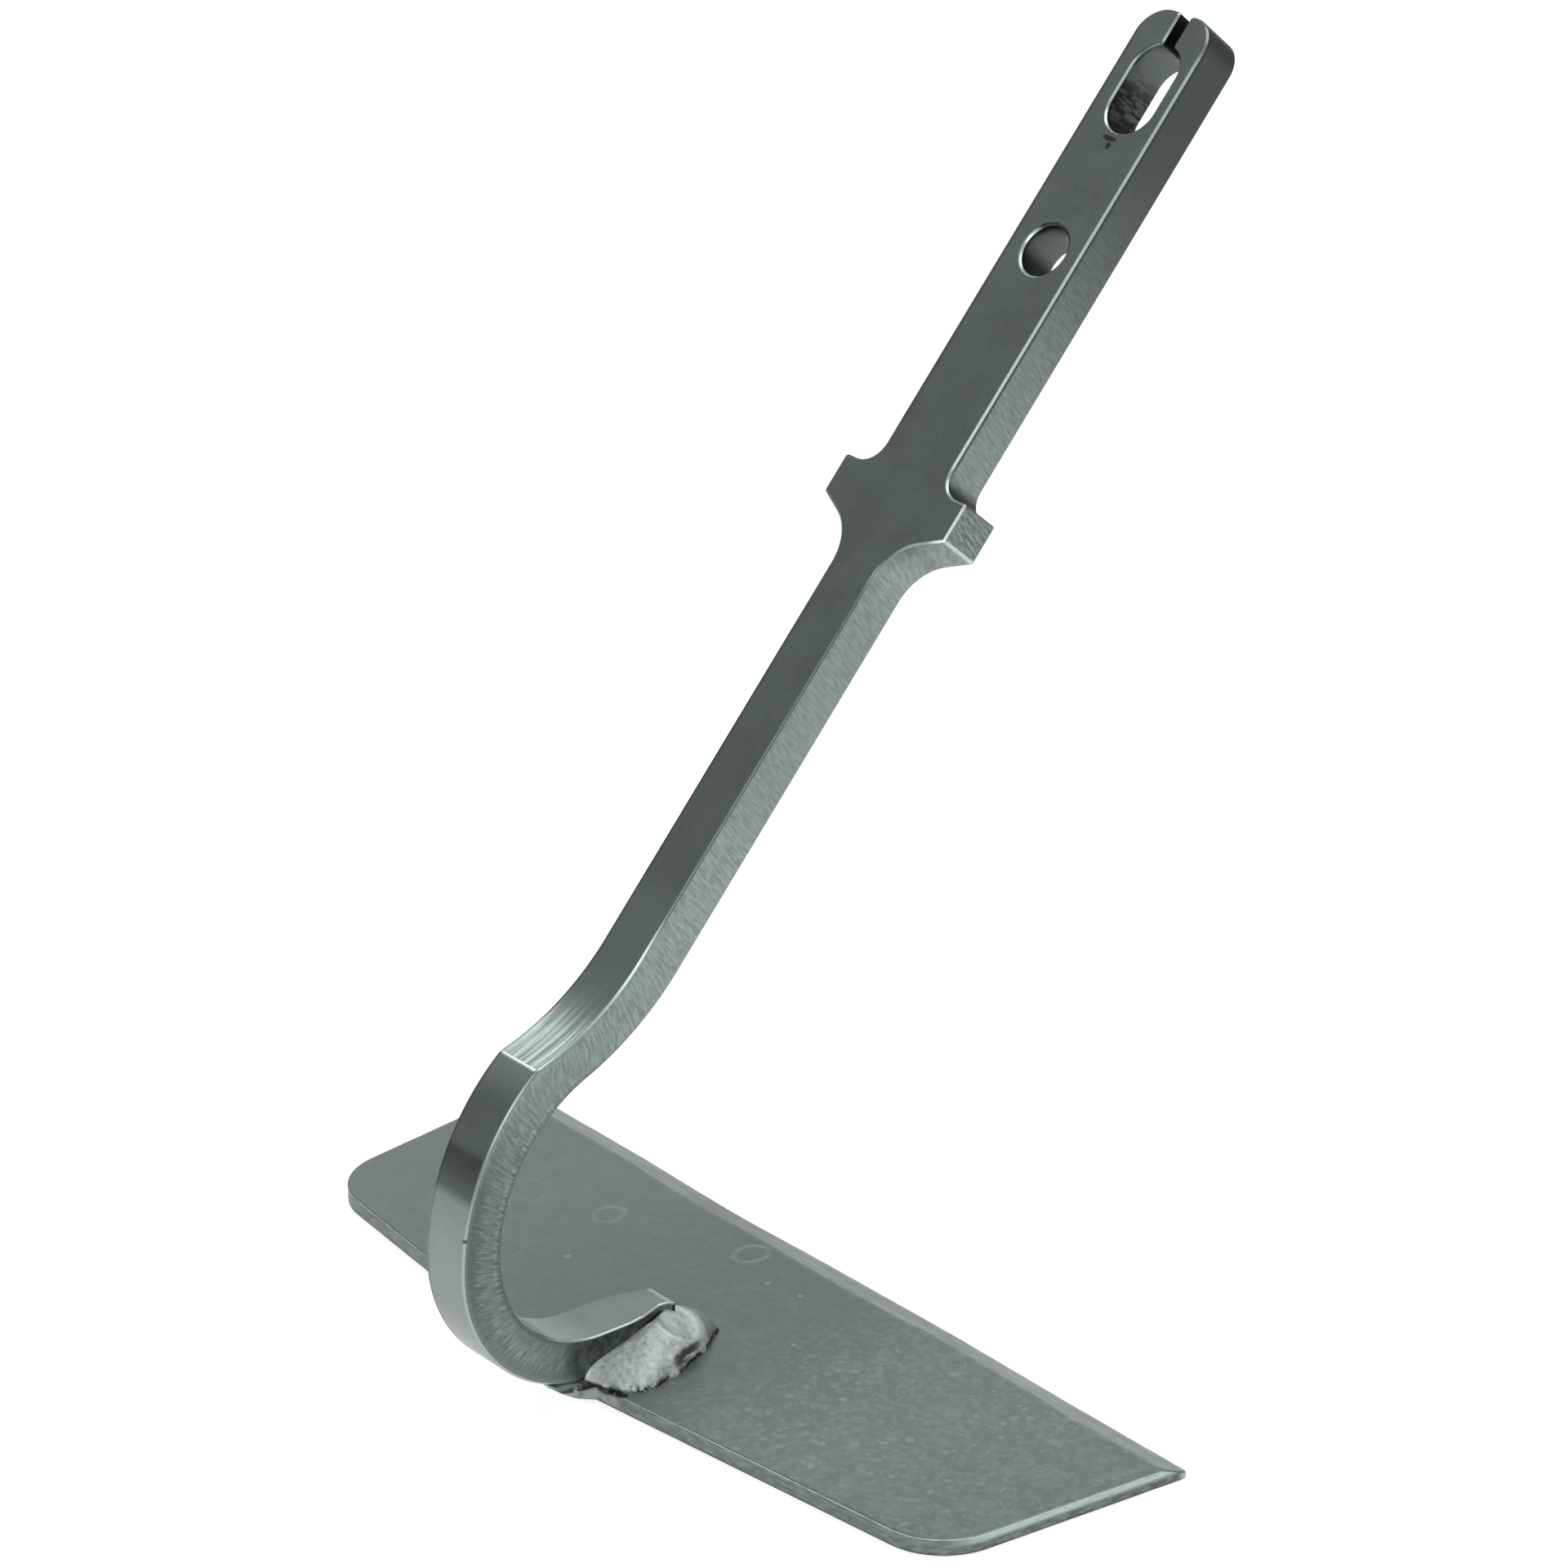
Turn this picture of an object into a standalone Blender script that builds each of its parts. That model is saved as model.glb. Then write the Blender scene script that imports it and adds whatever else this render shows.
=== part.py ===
"""Swan-neck draw hoe head: a bent plate shank welded on top of a flat hoe blade.

Row frame, metres: the blade lies flat on z = 0, X runs along the blade's width,
+Y points to the cutting edge, +Z points up. The origin is the middle of the sole.
"""

import math

import bmesh
import bpy
from mathutils import Matrix, Vector

MM = 0.001
GAP = 0.3 * MM

# Blade.
BLADE_T = 3.0 * MM
EDGE_HALF = 81.3 * MM
EDGE_Y = 27.0 * MM
CORNER_X = 76.3 * MM
CORNER_Y = -18.5 * MM
CORNER_R = 11.5 * MM
PEAK_Y = -27.1 * MM
PEAK_R = 12.0 * MM
BEVEL_W = 5.2 * MM
EDGE_LAND = 0.8 * MM

# Shank: straight part, measured up its front face from where that face meets z = 0.
PLATE_T = 8.0 * MM
LEAN = math.radians(47.6)
FACE_Y = -79.6 * MM
NECK_HALF = 4.7 * MM
TANG_HALF = 7.7 * MM
EAR_HALF = 14.1 * MM
EAR_LOW = 172.2 * MM
EAR_TOP = 178.8 * MM
EAR_SLOPE = math.radians(25.0)
EAR_NECK_R = 8.5 * MM
TANG_FILLET = 4.0 * MM
TIP = 261.8 * MM
TIP_R = 5.0 * MM

# Handle fastener openings in the tang.
HOLE_R = 4.5 * MM
HOLE_AT = 219.4 * MM
HOLE_X = 0.4 * MM
SLOT_R = 4.7 * MM
SLOT_LOW = 240.6 * MM
SLOT_HIGH = 256.2 * MM
SLIT_HALF = 1.2 * MM
MOUTH_R = 0.8 * MM

# Swan neck, seen from the side: outer face and inner face, foot end first.
FOOT_END = -9.6 * MM
FOOT_UNDER = BLADE_T + GAP
FOOT_TOP = 10.4 * MM
NOSE_START = -17.0 * MM
NOSE_HALF = 2.4 * MM
OUTER_START = -25.0 * MM
OUTER_HEEL_R = 24.8 * MM
OUTER_CROWN_R = 39.0 * MM
OUTER_CREASE = math.radians(38.3)
OUTER_HOLLOW = math.radians(15.2)
INNER_START = -24.1 * MM
INNER_HEEL_R = 18.6 * MM
INNER_CROWN_R = 27.4 * MM
INNER_TURN = math.radians(21.9)

# Fillet welds beside the foot, and the short one under the heel.
WELD_START = -28.0 * MM
WELD_END = -4.6 * MM
NOSE_WELD_END = -1.6 * MM
NOSE_WELD_BACK = -2.3 * MM
HEEL_WELD_HALF = 7.4 * MM
HEEL_WELD_REACH = 8.2 * MM

ARC_STEP = math.radians(6.0)
HOLE_SIDES = 48


def clear_scene():
    for obj in list(bpy.data.objects):
        bpy.data.objects.remove(obj, do_unlink=True)


def new_collection(name):
    made = bpy.data.collections.new(name)
    bpy.context.scene.collection.children.link(made)
    return made


def steel(name, colour, roughness, metallic):
    made = bpy.data.materials.new(name)
    made.use_nodes = True
    shader = made.node_tree.nodes["Principled BSDF"]
    shader.inputs["Base Color"].default_value = (*colour, 1.0)
    shader.inputs["Roughness"].default_value = roughness
    shader.inputs["Metallic"].default_value = metallic
    return made


def heading(angle):
    return Vector((math.cos(angle), math.sin(angle)))


def left_of(angle):
    return Vector((-math.sin(angle), math.cos(angle)))


def arc(start, radius, turn_from, turn_to):
    """Points of an arc that leaves start heading turn_from and ends heading turn_to."""
    side = 1.0 if turn_to > turn_from else -1.0
    centre = start + left_of(turn_from) * radius * side
    steps = max(2, math.ceil(abs(turn_to - turn_from) / ARC_STEP))
    points = []
    for step in range(1, steps + 1):
        angle = turn_from + (turn_to - turn_from) * step / steps
        points.append(centre - left_of(angle) * radius * side)
    return points


def rounded(corners):
    """Closed outline with each (x, y, radius) corner filleted."""
    outline = []
    count = len(corners)
    for i, (x, y, radius) in enumerate(corners):
        here = Vector((x, y))
        before = Vector(corners[i - 1][:2])
        after = Vector(corners[(i + 1) % count][:2])
        if radius == 0.0:
            outline.append(here)
            continue
        way_in = (here - before).normalized()
        way_out = (after - here).normalized()
        turn = way_in.angle_signed(way_out) * -1.0
        back = radius * math.tan(abs(turn) / 2.0)
        start = here - way_in * back
        angle = math.atan2(way_in.y, way_in.x)
        outline.append(start)
        outline += arc(start, radius, angle, angle + turn)
    return outline


def prism(name, outline, depth, placing, home):
    """Flat outline filled and extruded half the depth to each side, as a welded mesh."""
    curve = bpy.data.curves.new(name, "CURVE")
    curve.dimensions = "2D"
    curve.fill_mode = "BOTH"
    curve.extrude = depth / 2.0
    spline = curve.splines.new("POLY")
    spline.points.add(len(outline) - 1)
    for point, place in zip(spline.points, outline):
        point.co = (place.x, place.y, 0.0, 1.0)
    spline.use_cyclic_u = True
    drawn = bpy.data.objects.new(name + "_curve", curve)
    home.objects.link(drawn)
    bpy.context.view_layer.update()
    mesh = bpy.data.meshes.new_from_object(
        drawn.evaluated_get(bpy.context.evaluated_depsgraph_get())
    )
    bpy.data.objects.remove(drawn, do_unlink=True)
    mesh.name = name
    mesh.transform(placing)
    return weld_up(name, mesh, home)


def weld_up(name, mesh, home):
    shape = bmesh.new()
    shape.from_mesh(mesh)
    bmesh.ops.remove_doubles(shape, verts=shape.verts, dist=1e-6)
    bmesh.ops.recalc_face_normals(shape, faces=shape.faces)
    shape.to_mesh(mesh)
    shape.free()
    made = bpy.data.objects.new(name, mesh)
    home.objects.link(made)
    return made


def loft(name, rings, home):
    """Closed skin over rings of equal point count, capped at both ends."""
    verts = [point for ring in rings for point in ring]
    size = len(rings[0])
    faces = [tuple(range(size)), tuple(range(len(verts) - size, len(verts)))[::-1]]
    for row in range(len(rings) - 1):
        for i in range(size):
            a = row * size + i
            b = row * size + (i + 1) % size
            faces.append((a, b, b + size, a + size))
    mesh = bpy.data.meshes.new(name)
    mesh.from_pydata(verts, [], faces)
    return weld_up(name, mesh, home)


def combine(target, cutter, operation):
    change = target.modifiers.new(cutter.name, "BOOLEAN")
    change.operation = operation
    change.solver = "EXACT"
    change.object = cutter
    cutter.hide_render = True
    cutter.display_type = "WIRE"


def side_view():
    """Local x, y, z of a flat outline to row Y, Z, X."""
    return Matrix(((0, 0, 1, 0), (1, 0, 0, 0), (0, 1, 0, 0), (0, 0, 0, 1)))


def tang_view():
    """Local x, y, z of a flat outline to across, along and out of the tang's front."""
    return Matrix.Translation((0.0, FACE_Y, 0.0)) @ Matrix.Rotation(LEAN, 4, "X")


def blade_outline():
    half = [
        (EDGE_HALF, EDGE_Y, 0.0),
        (-EDGE_HALF, EDGE_Y, 0.0),
        (-CORNER_X, CORNER_Y, CORNER_R),
        (0.0, PEAK_Y, PEAK_R),
        (CORNER_X, CORNER_Y, CORNER_R),
    ]
    return rounded(half)


def build_blade(parts, tools, material):
    lift = Matrix.Translation((0.0, 0.0, BLADE_T / 2.0))
    blade = prism("blade", blade_outline(), BLADE_T, lift, parts)
    drop = (BLADE_T - EDGE_LAND) / BEVEL_W
    over = 2.0 * MM
    wedge = [
        Vector((EDGE_Y - BEVEL_W - over, BLADE_T + over * drop)),
        Vector((EDGE_Y + over, EDGE_LAND - over * drop)),
        Vector((EDGE_Y + over, BLADE_T + over)),
        Vector((EDGE_Y - BEVEL_W - over, BLADE_T + over)),
    ]
    grind = prism("edge_grind", wedge, 4.0 * EDGE_HALF, side_view(), tools)
    combine(blade, grind, "DIFFERENCE")
    blade.data.materials.append(material)
    return blade


def run_up(offset):
    """Point beyond the tip on the straight part, offset behind the front face."""
    face = Vector((FACE_Y, 0.0)) - left_of(LEAN) * offset
    return face + heading(LEAN) * (TIP + 6.0 * MM)


def outer_face():
    points = [Vector((FOOT_END, FOOT_UNDER)), Vector((OUTER_START, FOOT_UNDER))]
    points += arc(points[-1], OUTER_HEEL_R, math.pi, math.pi / 2.0)
    points += arc(points[-1], OUTER_CROWN_R, math.pi / 2.0, OUTER_CREASE)
    face = Vector((FACE_Y, 0.0))
    depth = (points[-1] - face).dot(left_of(LEAN))
    radius = depth / (1.0 - math.cos(LEAN - OUTER_HOLLOW))
    points += arc(points[-1], radius, OUTER_HOLLOW, LEAN)
    points.append(run_up(0.0))
    return points


def inner_face():
    points = [Vector((FOOT_END, FOOT_TOP)), Vector((INNER_START, FOOT_TOP))]
    points += arc(points[-1], INNER_HEEL_R, math.pi, math.pi / 2.0)
    points += arc(points[-1], INNER_CROWN_R, math.pi / 2.0, INNER_TURN)
    back = Vector((FACE_Y, 0.0)) - left_of(LEAN) * PLATE_T
    depth = (points[-1] - back).dot(left_of(LEAN))
    radius = depth / (1.0 - math.cos(LEAN - INNER_TURN))
    points += arc(points[-1], radius, INNER_TURN, LEAN)
    points.append(run_up(PLATE_T))
    return points


def shank_front():
    """Tang, ears and neck as one outline; the keyhole slot is open through the tip."""
    ear_root = EAR_LOW - (EAR_HALF - NECK_HALF) * math.tan(EAR_SLOPE)
    right = [
        (NECK_HALF, -0.1, 0.0),
        (NECK_HALF, ear_root, EAR_NECK_R),
        (EAR_HALF, EAR_LOW, 0.4 * MM),
        (EAR_HALF, EAR_TOP, 0.4 * MM),
        (TANG_HALF, EAR_TOP, TANG_FILLET),
        (TANG_HALF, TIP, TIP_R),
    ]
    outline = rounded_run(right)
    outline += rounded_run(
        [
            (TANG_HALF - TIP_R, TIP, 0.0),
            (HOLE_X + SLIT_HALF, TIP, MOUTH_R),
            (HOLE_X + SLIT_HALF, TIP - 2.0 * MM, 0.0),
        ]
    )[1:]
    outline += slot_wall()
    outline += rounded_run(
        [
            (HOLE_X - SLIT_HALF, TIP - 2.0 * MM, 0.0),
            (HOLE_X - SLIT_HALF, TIP, MOUTH_R),
            (TIP_R - TANG_HALF, TIP, 0.0),
        ]
    )[:-1]
    outline += [Vector((-p.x, p.y)) for p in reversed(rounded_run(right))]
    return outline


def rounded_run(corners):
    """Open run of corners, filleted like rounded() but with square ends."""
    first = Vector(corners[0][:2])
    last = Vector(corners[-1][:2])
    if corners[-1][2] == 0.0:
        return rounded(corners)
    beyond = (last.x - 40.0 * MM, last.y, 0.0)
    run = rounded(corners + [beyond])
    return [first] + run[1:-1]


def slot_wall():
    """Slot wall from the slit's right side, around the bottom, to its left side."""
    high = Vector((HOLE_X, SLOT_HIGH - SLOT_R))
    low = Vector((HOLE_X, SLOT_LOW + SLOT_R))
    lip = math.acos(SLIT_HALF / SLOT_R)
    wall = []
    for start, end, centre in (
        (lip, 0.0, high),
        (0.0, -math.pi, low),
        (math.pi, math.pi - lip, high),
    ):
        steps = math.ceil(abs(end - start) / ARC_STEP)
        for step in range(steps + 1):
            angle = start + (end - start) * step / steps
            wall.append(centre + heading(angle) * SLOT_R)
    return wall


def foot_side(sign):
    """Waste beside the foot's tapered nose, on one side."""
    slope = (NECK_HALF - NOSE_HALF) / (FOOT_END - NOSE_START)
    over = 3.0 * MM
    start = (NECK_HALF + over * slope, NOSE_START - over)
    end = (NOSE_HALF - over * slope, FOOT_END + over)
    beside = NECK_HALF + over
    corners = [start, end, (beside, FOOT_END + over), (beside, NOSE_START - over)]
    return [Vector((sign * x, y)) for x, y in corners]


def build_shank(parts, tools, material):
    profile = outer_face() + list(reversed(inner_face()))
    shank = prism("shank", profile, 40.0 * MM, side_view(), parts)
    front = prism("shank_front", shank_front(), 0.3, tang_view(), tools)
    combine(shank, front, "INTERSECT")
    hole_place = tang_view() @ Matrix.Translation((HOLE_X, HOLE_AT, -PLATE_T / 2.0))
    circle = [heading(2.0 * math.pi * i / HOLE_SIDES) * HOLE_R for i in range(HOLE_SIDES)]
    hole = prism("bolt_hole", circle, 3.0 * PLATE_T, hole_place, tools)
    combine(shank, hole, "DIFFERENCE")
    level = Matrix.Translation((0.0, 0.0, FOOT_TOP / 2.0))
    for label, sign in (("right", 1.0), ("left", -1.0)):
        waste = prism("nose_" + label, foot_side(sign), 1.4 * FOOT_TOP, level, tools)
        combine(shank, waste, "DIFFERENCE")
    shank.data.materials.append(material)
    return shank


def foot_half(y):
    """Half width of the foot at a station along it."""
    if y <= NOSE_START:
        return NECK_HALF
    share = min(1.0, (y - NOSE_START) / (FOOT_END - NOSE_START))
    return NECK_HALF + (NOSE_HALF - NECK_HALF) * share


def bead_section(root, base, reach, height, bulge):
    """Convex fillet section as (out, up) points: root corner, toe, then back up."""
    steps = 8
    points = [(root, base)]
    for step in range(steps + 1):
        share = step / steps
        out = reach * (1.0 - share)
        up = height * share
        swell = bulge * math.sin(math.pi * share) / (reach + height)
        points.append((root + out + swell * height, base + up + swell * reach))
    return points


def side_weld_rings(end):
    """Sections of a fillet weld along the foot, rising towards its nose."""
    rings = []
    stations = 14
    for i in range(stations + 1):
        share = i / stations
        y = WELD_START + (end - WELD_START) * share
        swell = 0.22
        if 0 < i < stations:
            swell = max(0.22, math.sin(math.pi * (0.08 + 0.92 * share) ** 0.8) ** 0.5)
        height = (3.4 + 3.4 * share) * MM * swell
        reach = 6.4 * MM * swell
        rings.append((y, bead_section(foot_half(y) + GAP, BLADE_T + GAP, reach, height, 1.1 * MM)))
    return rings


def nose_weld_rings():
    """Sections of the right weld: along the foot, then across in front of its nose."""
    nose = FOOT_END + GAP
    rings = [ring for ring in side_weld_rings(WELD_END) if ring[0] < nose - 0.5 * MM]
    toe = rings[-1][1][1][0]
    side_root = foot_half(nose) + GAP
    for root, y, height in (
        (side_root, nose, 5.7 * MM),
        (NOSE_WELD_BACK, nose + 0.05 * MM, 5.5 * MM),
        (NOSE_WELD_BACK, nose + 2.8 * MM, 4.6 * MM),
        (NOSE_WELD_BACK + 0.6 * MM, nose + 5.4 * MM, 3.2 * MM),
        (NOSE_WELD_BACK + 1.6 * MM, NOSE_WELD_END, 1.2 * MM),
    ):
        share = (y - nose) / (NOSE_WELD_END - nose)
        reach = toe - root - 6.0 * MM * share ** 2
        rings.append((y, bead_section(root, BLADE_T + GAP, reach, height, 1.1 * MM)))
    return rings


def build_side_weld(name, sign, sections, parts, material):
    """Fillet weld beside the foot from its (y, section) rings."""
    rings = []
    for y, section in sections:
        rings.append([(sign * out, y, up) for out, up in section])
    bead = loft(name, rings, parts)
    bead.data.materials.append(material)
    return bead


def heel_under(y):
    """Height of the heel's underside behind the blade."""
    fall = max(0.0, OUTER_START - y)
    return FOOT_UNDER + OUTER_HEEL_R - math.sqrt(OUTER_HEEL_R ** 2 - fall ** 2)


def build_heel_weld(parts, material):
    """Short weld that closes the corner between the heel and the blade's rear edge."""
    rings = []
    stations = 10
    for i in range(stations + 1):
        x = -HEEL_WELD_HALF + 2.0 * HEEL_WELD_HALF * i / stations
        fade = math.sqrt(max(0.09, 1.0 - (x / HEEL_WELD_HALF) ** 4))
        edge = PEAK_Y - GAP
        reach = HEEL_WELD_REACH * fade
        far = edge - reach
        low = BLADE_T * 0.5 - 1.25 * MM * fade
        top = [(edge - reach * k / 4.0) for k in range(5)]
        section = [(x, y, heel_under(y) - GAP * 1.3) for y in top]
        section.append((x, far + 0.7 * MM * fade, heel_under(far) - 1.6 * MM * fade))
        section.append((x, edge - 3.4 * MM * fade, low + 1.0 * MM * fade))
        section.append((x, edge, low))
        rings.append(section)
    bead = loft("weld_heel", rings, parts)
    bead.data.materials.append(material)
    return bead


def main():
    clear_scene()
    parts = new_collection("draw_hoe_head")
    tools = new_collection("cutters")
    blade_steel = steel("blade_steel", (0.165, 0.195, 0.185), 0.45, 0.85)
    shank_steel = steel("shank_steel", (0.095, 0.115, 0.108), 0.42, 0.85)
    weld_steel = steel("weld_steel", (0.40, 0.44, 0.42), 0.50, 0.80)
    build_blade(parts, tools, blade_steel)
    build_shank(parts, tools, shank_steel)
    build_side_weld("weld_right", 1.0, nose_weld_rings(), parts, weld_steel)
    build_side_weld("weld_left", -1.0, side_weld_rings(WELD_END), parts, weld_steel)
    build_heel_weld(parts, weld_steel)


main()
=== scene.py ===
"""Looks of the swan-neck draw hoe head: bent plate shank, ground blade and three welds.

Row frame, metres: the blade lies flat on z = 0, X along the blade's width,
+Y to the cutting edge, +Z up.
"""

import math

import bmesh
import bpy
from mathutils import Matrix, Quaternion, Vector, geometry, noise


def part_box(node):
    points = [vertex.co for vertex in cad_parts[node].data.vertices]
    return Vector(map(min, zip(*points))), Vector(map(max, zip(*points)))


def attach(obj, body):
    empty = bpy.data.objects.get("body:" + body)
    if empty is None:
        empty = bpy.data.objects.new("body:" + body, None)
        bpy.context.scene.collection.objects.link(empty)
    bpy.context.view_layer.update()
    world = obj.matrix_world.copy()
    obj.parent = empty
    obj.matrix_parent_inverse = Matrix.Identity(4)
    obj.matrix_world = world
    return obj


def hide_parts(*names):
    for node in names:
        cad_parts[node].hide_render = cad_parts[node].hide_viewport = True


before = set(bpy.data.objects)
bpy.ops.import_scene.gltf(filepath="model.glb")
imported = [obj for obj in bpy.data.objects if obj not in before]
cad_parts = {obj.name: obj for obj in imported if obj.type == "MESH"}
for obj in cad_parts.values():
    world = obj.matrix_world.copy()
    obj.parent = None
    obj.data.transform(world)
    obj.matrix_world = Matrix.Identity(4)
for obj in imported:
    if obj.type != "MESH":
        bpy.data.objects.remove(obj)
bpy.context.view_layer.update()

MM = 0.001
BLADE_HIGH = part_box("blade")[1]
BLADE_TOP = BLADE_HIGH.z

# The visible blade stays this far inside the CAD box at its tips.
INSET = 0.02 * MM

# Blade outline and ground edge.
EDGE_HALF = BLADE_HIGH.x - INSET
EDGE_Y = BLADE_HIGH.y
CORNER_X = 76.3 * MM
CORNER_Y = -18.5 * MM
CORNER_R = 11.5 * MM
PEAK_Y = -27.1 * MM
PEAK_R = 12.0 * MM
TIP_ROUND = 1.3 * MM
BEVEL_W = 5.3 * MM
EDGE_LAND = 0.75 * MM

# Steps of the blade's rounded edges, millimetres: how far in, from the face down the wall.
EDGE_ROUND = (0.30, 0.16, 0.05, 0.0)

# Shank plate: the straight part is measured up its front face from where it meets z = 0.
PLATE_T = 8.0 * MM
LEAN = math.radians(47.6)
FACE_Y = -79.6 * MM
NECK_HALF = 4.68 * MM
TANG_HALF = 7.68 * MM
EAR_HALF = 14.05 * MM
EAR_LOW = 172.2 * MM
EAR_TOP = 178.8 * MM
EAR_SLOPE = math.radians(25.0)
EAR_NECK_R = 8.5 * MM
TANG_FILLET = 4.0 * MM
TIP = 261.75 * MM
TIP_R = 5.0 * MM
TIP_JOIN = 2.45 * MM
HOLE_R = 4.3 * MM
HOLE_AT = 219.5 * MM
HOLE_X = 0.25 * MM
SLOT_X = 0.5 * MM
SLOT_R = 4.7 * MM
SLOT_LOW = 240.6 * MM
SLOT_HIGH = 256.2 * MM
SLIT_LEFT = -0.9 * MM
SLIT_RIGHT = 1.5 * MM
MOUTH_R = 0.7 * MM

# Swan neck, seen from the side: outer and inner face, foot end first.
FOOT_END = -9.6 * MM
FOOT_UNDER = BLADE_TOP + 0.3 * MM
FOOT_TOP = 10.4 * MM
OUTER_START = -25.0 * MM
OUTER_HEEL_R = 24.8 * MM
OUTER_CROWN_R = 39.0 * MM
OUTER_CREASE = math.radians(38.3)
OUTER_HOLLOW = math.radians(15.2)
INNER_START = -24.1 * MM
INNER_HEEL_R = 18.6 * MM
INNER_CROWN_R = 27.4 * MM
INNER_TURN = math.radians(21.9)
STRAIGHT_FROM = 110.0 * MM

ARC_STEP = math.radians(5.0)
SHARP_ANGLE = math.radians(50.0)

# Saw marks on the cut edges lean this far along the plate for each step through it.
SLANT = 0.25

# The round hole's worn corner is this much wider; the rolled faces lie this far in.
HOLE_WEAR = 1.25
FACE_LIFT = 0.008 * MM


# ---------------------------------------------------------------- plane curves


def heading(angle):
    return Vector((math.cos(angle), math.sin(angle)))


def left_of(angle):
    return Vector((-math.sin(angle), math.cos(angle)))


def arc(start, radius, turn_from, turn_to, step_angle=ARC_STEP):
    """Points of an arc that leaves start heading turn_from and ends heading turn_to."""
    side = 1.0 if turn_to > turn_from else -1.0
    centre = start + left_of(turn_from) * radius * side
    steps = max(3, math.ceil(abs(turn_to - turn_from) / step_angle))
    points = []
    for step in range(1, steps + 1):
        angle = turn_from + (turn_to - turn_from) * step / steps
        points.append(centre - left_of(angle) * radius * side)
    return points


def rounded_run(corners, pitch):
    """Open run through (x, y, radius) corners, filleted, with points about pitch apart."""
    run = [Vector(corners[0][:2])]
    for before, (x, y, radius), after in zip(corners, corners[1:], corners[2:]):
        here = Vector((x, y))
        way_in = (here - Vector(before[:2])).normalized()
        way_out = (Vector(after[:2]) - here).normalized()
        if radius == 0.0:
            extend(run, [here], pitch)
            continue
        turn = -way_in.angle_signed(way_out)
        start = here - way_in * radius * math.tan(abs(turn) / 2.0)
        angle = math.atan2(way_in.y, way_in.x)
        extend(run, [start], pitch)
        fine = min(math.radians(12.0), max(math.radians(3.0), pitch / radius))
        run += arc(start, radius, angle, angle + turn, fine)
    extend(run, [Vector(corners[-1][:2])], pitch)
    return run


def extend(run, targets, pitch):
    """Adds straight stretches to run, divided about every pitch."""
    for target in targets:
        start = run[-1]
        steps = max(1, round((target - start).length / pitch))
        run += [start.lerp(target, k / steps) for k in range(1, steps + 1)]


def smooth(low, high, value):
    share = min(1.0, max(0.0, (value - low) / (high - low)))
    return share * share * (3.0 - 2.0 * share)


def ripple(x, y, z, scale, octaves=3):
    """Fractal noise of about -1 to 1 at a feature size of scale."""
    return noise.fractal(Vector((x, y, z)) / scale, 0.9, 2.1, octaves)


# ---------------------------------------------------------------- bent plate


def resample(points, count):
    """The same polyline as count equal steps."""
    lengths = [0.0]
    for a, b in zip(points, points[1:]):
        lengths.append(lengths[-1] + (b - a).length)
    result = []
    k = 0
    for i in range(count + 1):
        want = lengths[-1] * i / count
        while k < len(points) - 2 and lengths[k + 1] < want:
            k += 1
        share = (want - lengths[k]) / (lengths[k + 1] - lengths[k])
        result.append(points[k].lerp(points[k + 1], share))
    return result


def straight_point(along, depth):
    """Side view point on the straight part, depth behind the front face."""
    return Vector((FACE_Y, 0.0)) + heading(LEAN) * along - left_of(LEAN) * depth


def bend_stretches():
    """Matching stretches of the outer and the inner face, foot end first."""
    fine = math.radians(1.0)
    outer = [Vector((FOOT_END, FOOT_UNDER)), Vector((OUTER_START, FOOT_UNDER))]
    inner = [Vector((FOOT_END, FOOT_TOP)), Vector((INNER_START, FOOT_TOP))]
    stretches = [(outer, inner)]
    outer_at, inner_at = outer[-1], inner[-1]
    for o_radius, o_from, o_to, i_radius, i_from, i_to in (
        (OUTER_HEEL_R, math.pi, math.pi / 2.0, INNER_HEEL_R, math.pi, math.pi / 2.0),
        (OUTER_CROWN_R, math.pi / 2.0, OUTER_CREASE, INNER_CROWN_R, math.pi / 2.0, INNER_TURN),
        (None, OUTER_HOLLOW, LEAN, None, INNER_TURN, LEAN),
    ):
        if o_radius is None:
            o_radius = hollow_radius(outer_at, 0.0, OUTER_HOLLOW)
            i_radius = hollow_radius(inner_at, PLATE_T, INNER_TURN)
        outer = [outer_at] + arc(outer_at, o_radius, o_from, o_to, fine)
        inner = [inner_at] + arc(inner_at, i_radius, i_from, i_to, fine)
        stretches.append((outer, inner))
        outer_at, inner_at = outer[-1], inner[-1]
    stretches.append(
        (
            [outer_at, straight_point(STRAIGHT_FROM, 0.0)],
            [inner_at, straight_point(STRAIGHT_FROM, PLATE_T)],
        )
    )
    return stretches


def hollow_radius(at, depth, turn_from):
    """Radius that brings an arc from at onto the straight part at this depth."""
    fall = (at - straight_point(0.0, depth)).dot(left_of(LEAN))
    return fall / (1.0 - math.cos(LEAN - turn_from))


def bend_table(pitch):
    """Rows (developed length, outer point, inner point) of the bend."""
    rows = []
    along = 0.0
    for outer, inner in bend_stretches():
        mean = 0.5 * (path_length(outer) + path_length(inner))
        count = max(2, math.ceil(mean / pitch))
        outer = resample(outer, count)
        inner = resample(inner, count)
        first = 1 if rows else 0
        for i in range(first, count + 1):
            rows.append((along + mean * i / count, outer[i], inner[i]))
        along += mean
    return rows


def path_length(points):
    return sum((b - a).length for a, b in zip(points, points[1:]))


BEND_PITCH = 0.42 * MM
BEND = bend_table(BEND_PITCH)
BEND_LENGTH = BEND[-1][0]
CREASE_AT = sum(
    0.5 * (path_length(outer) + path_length(inner)) for outer, inner in bend_stretches()[:3]
)


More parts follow.
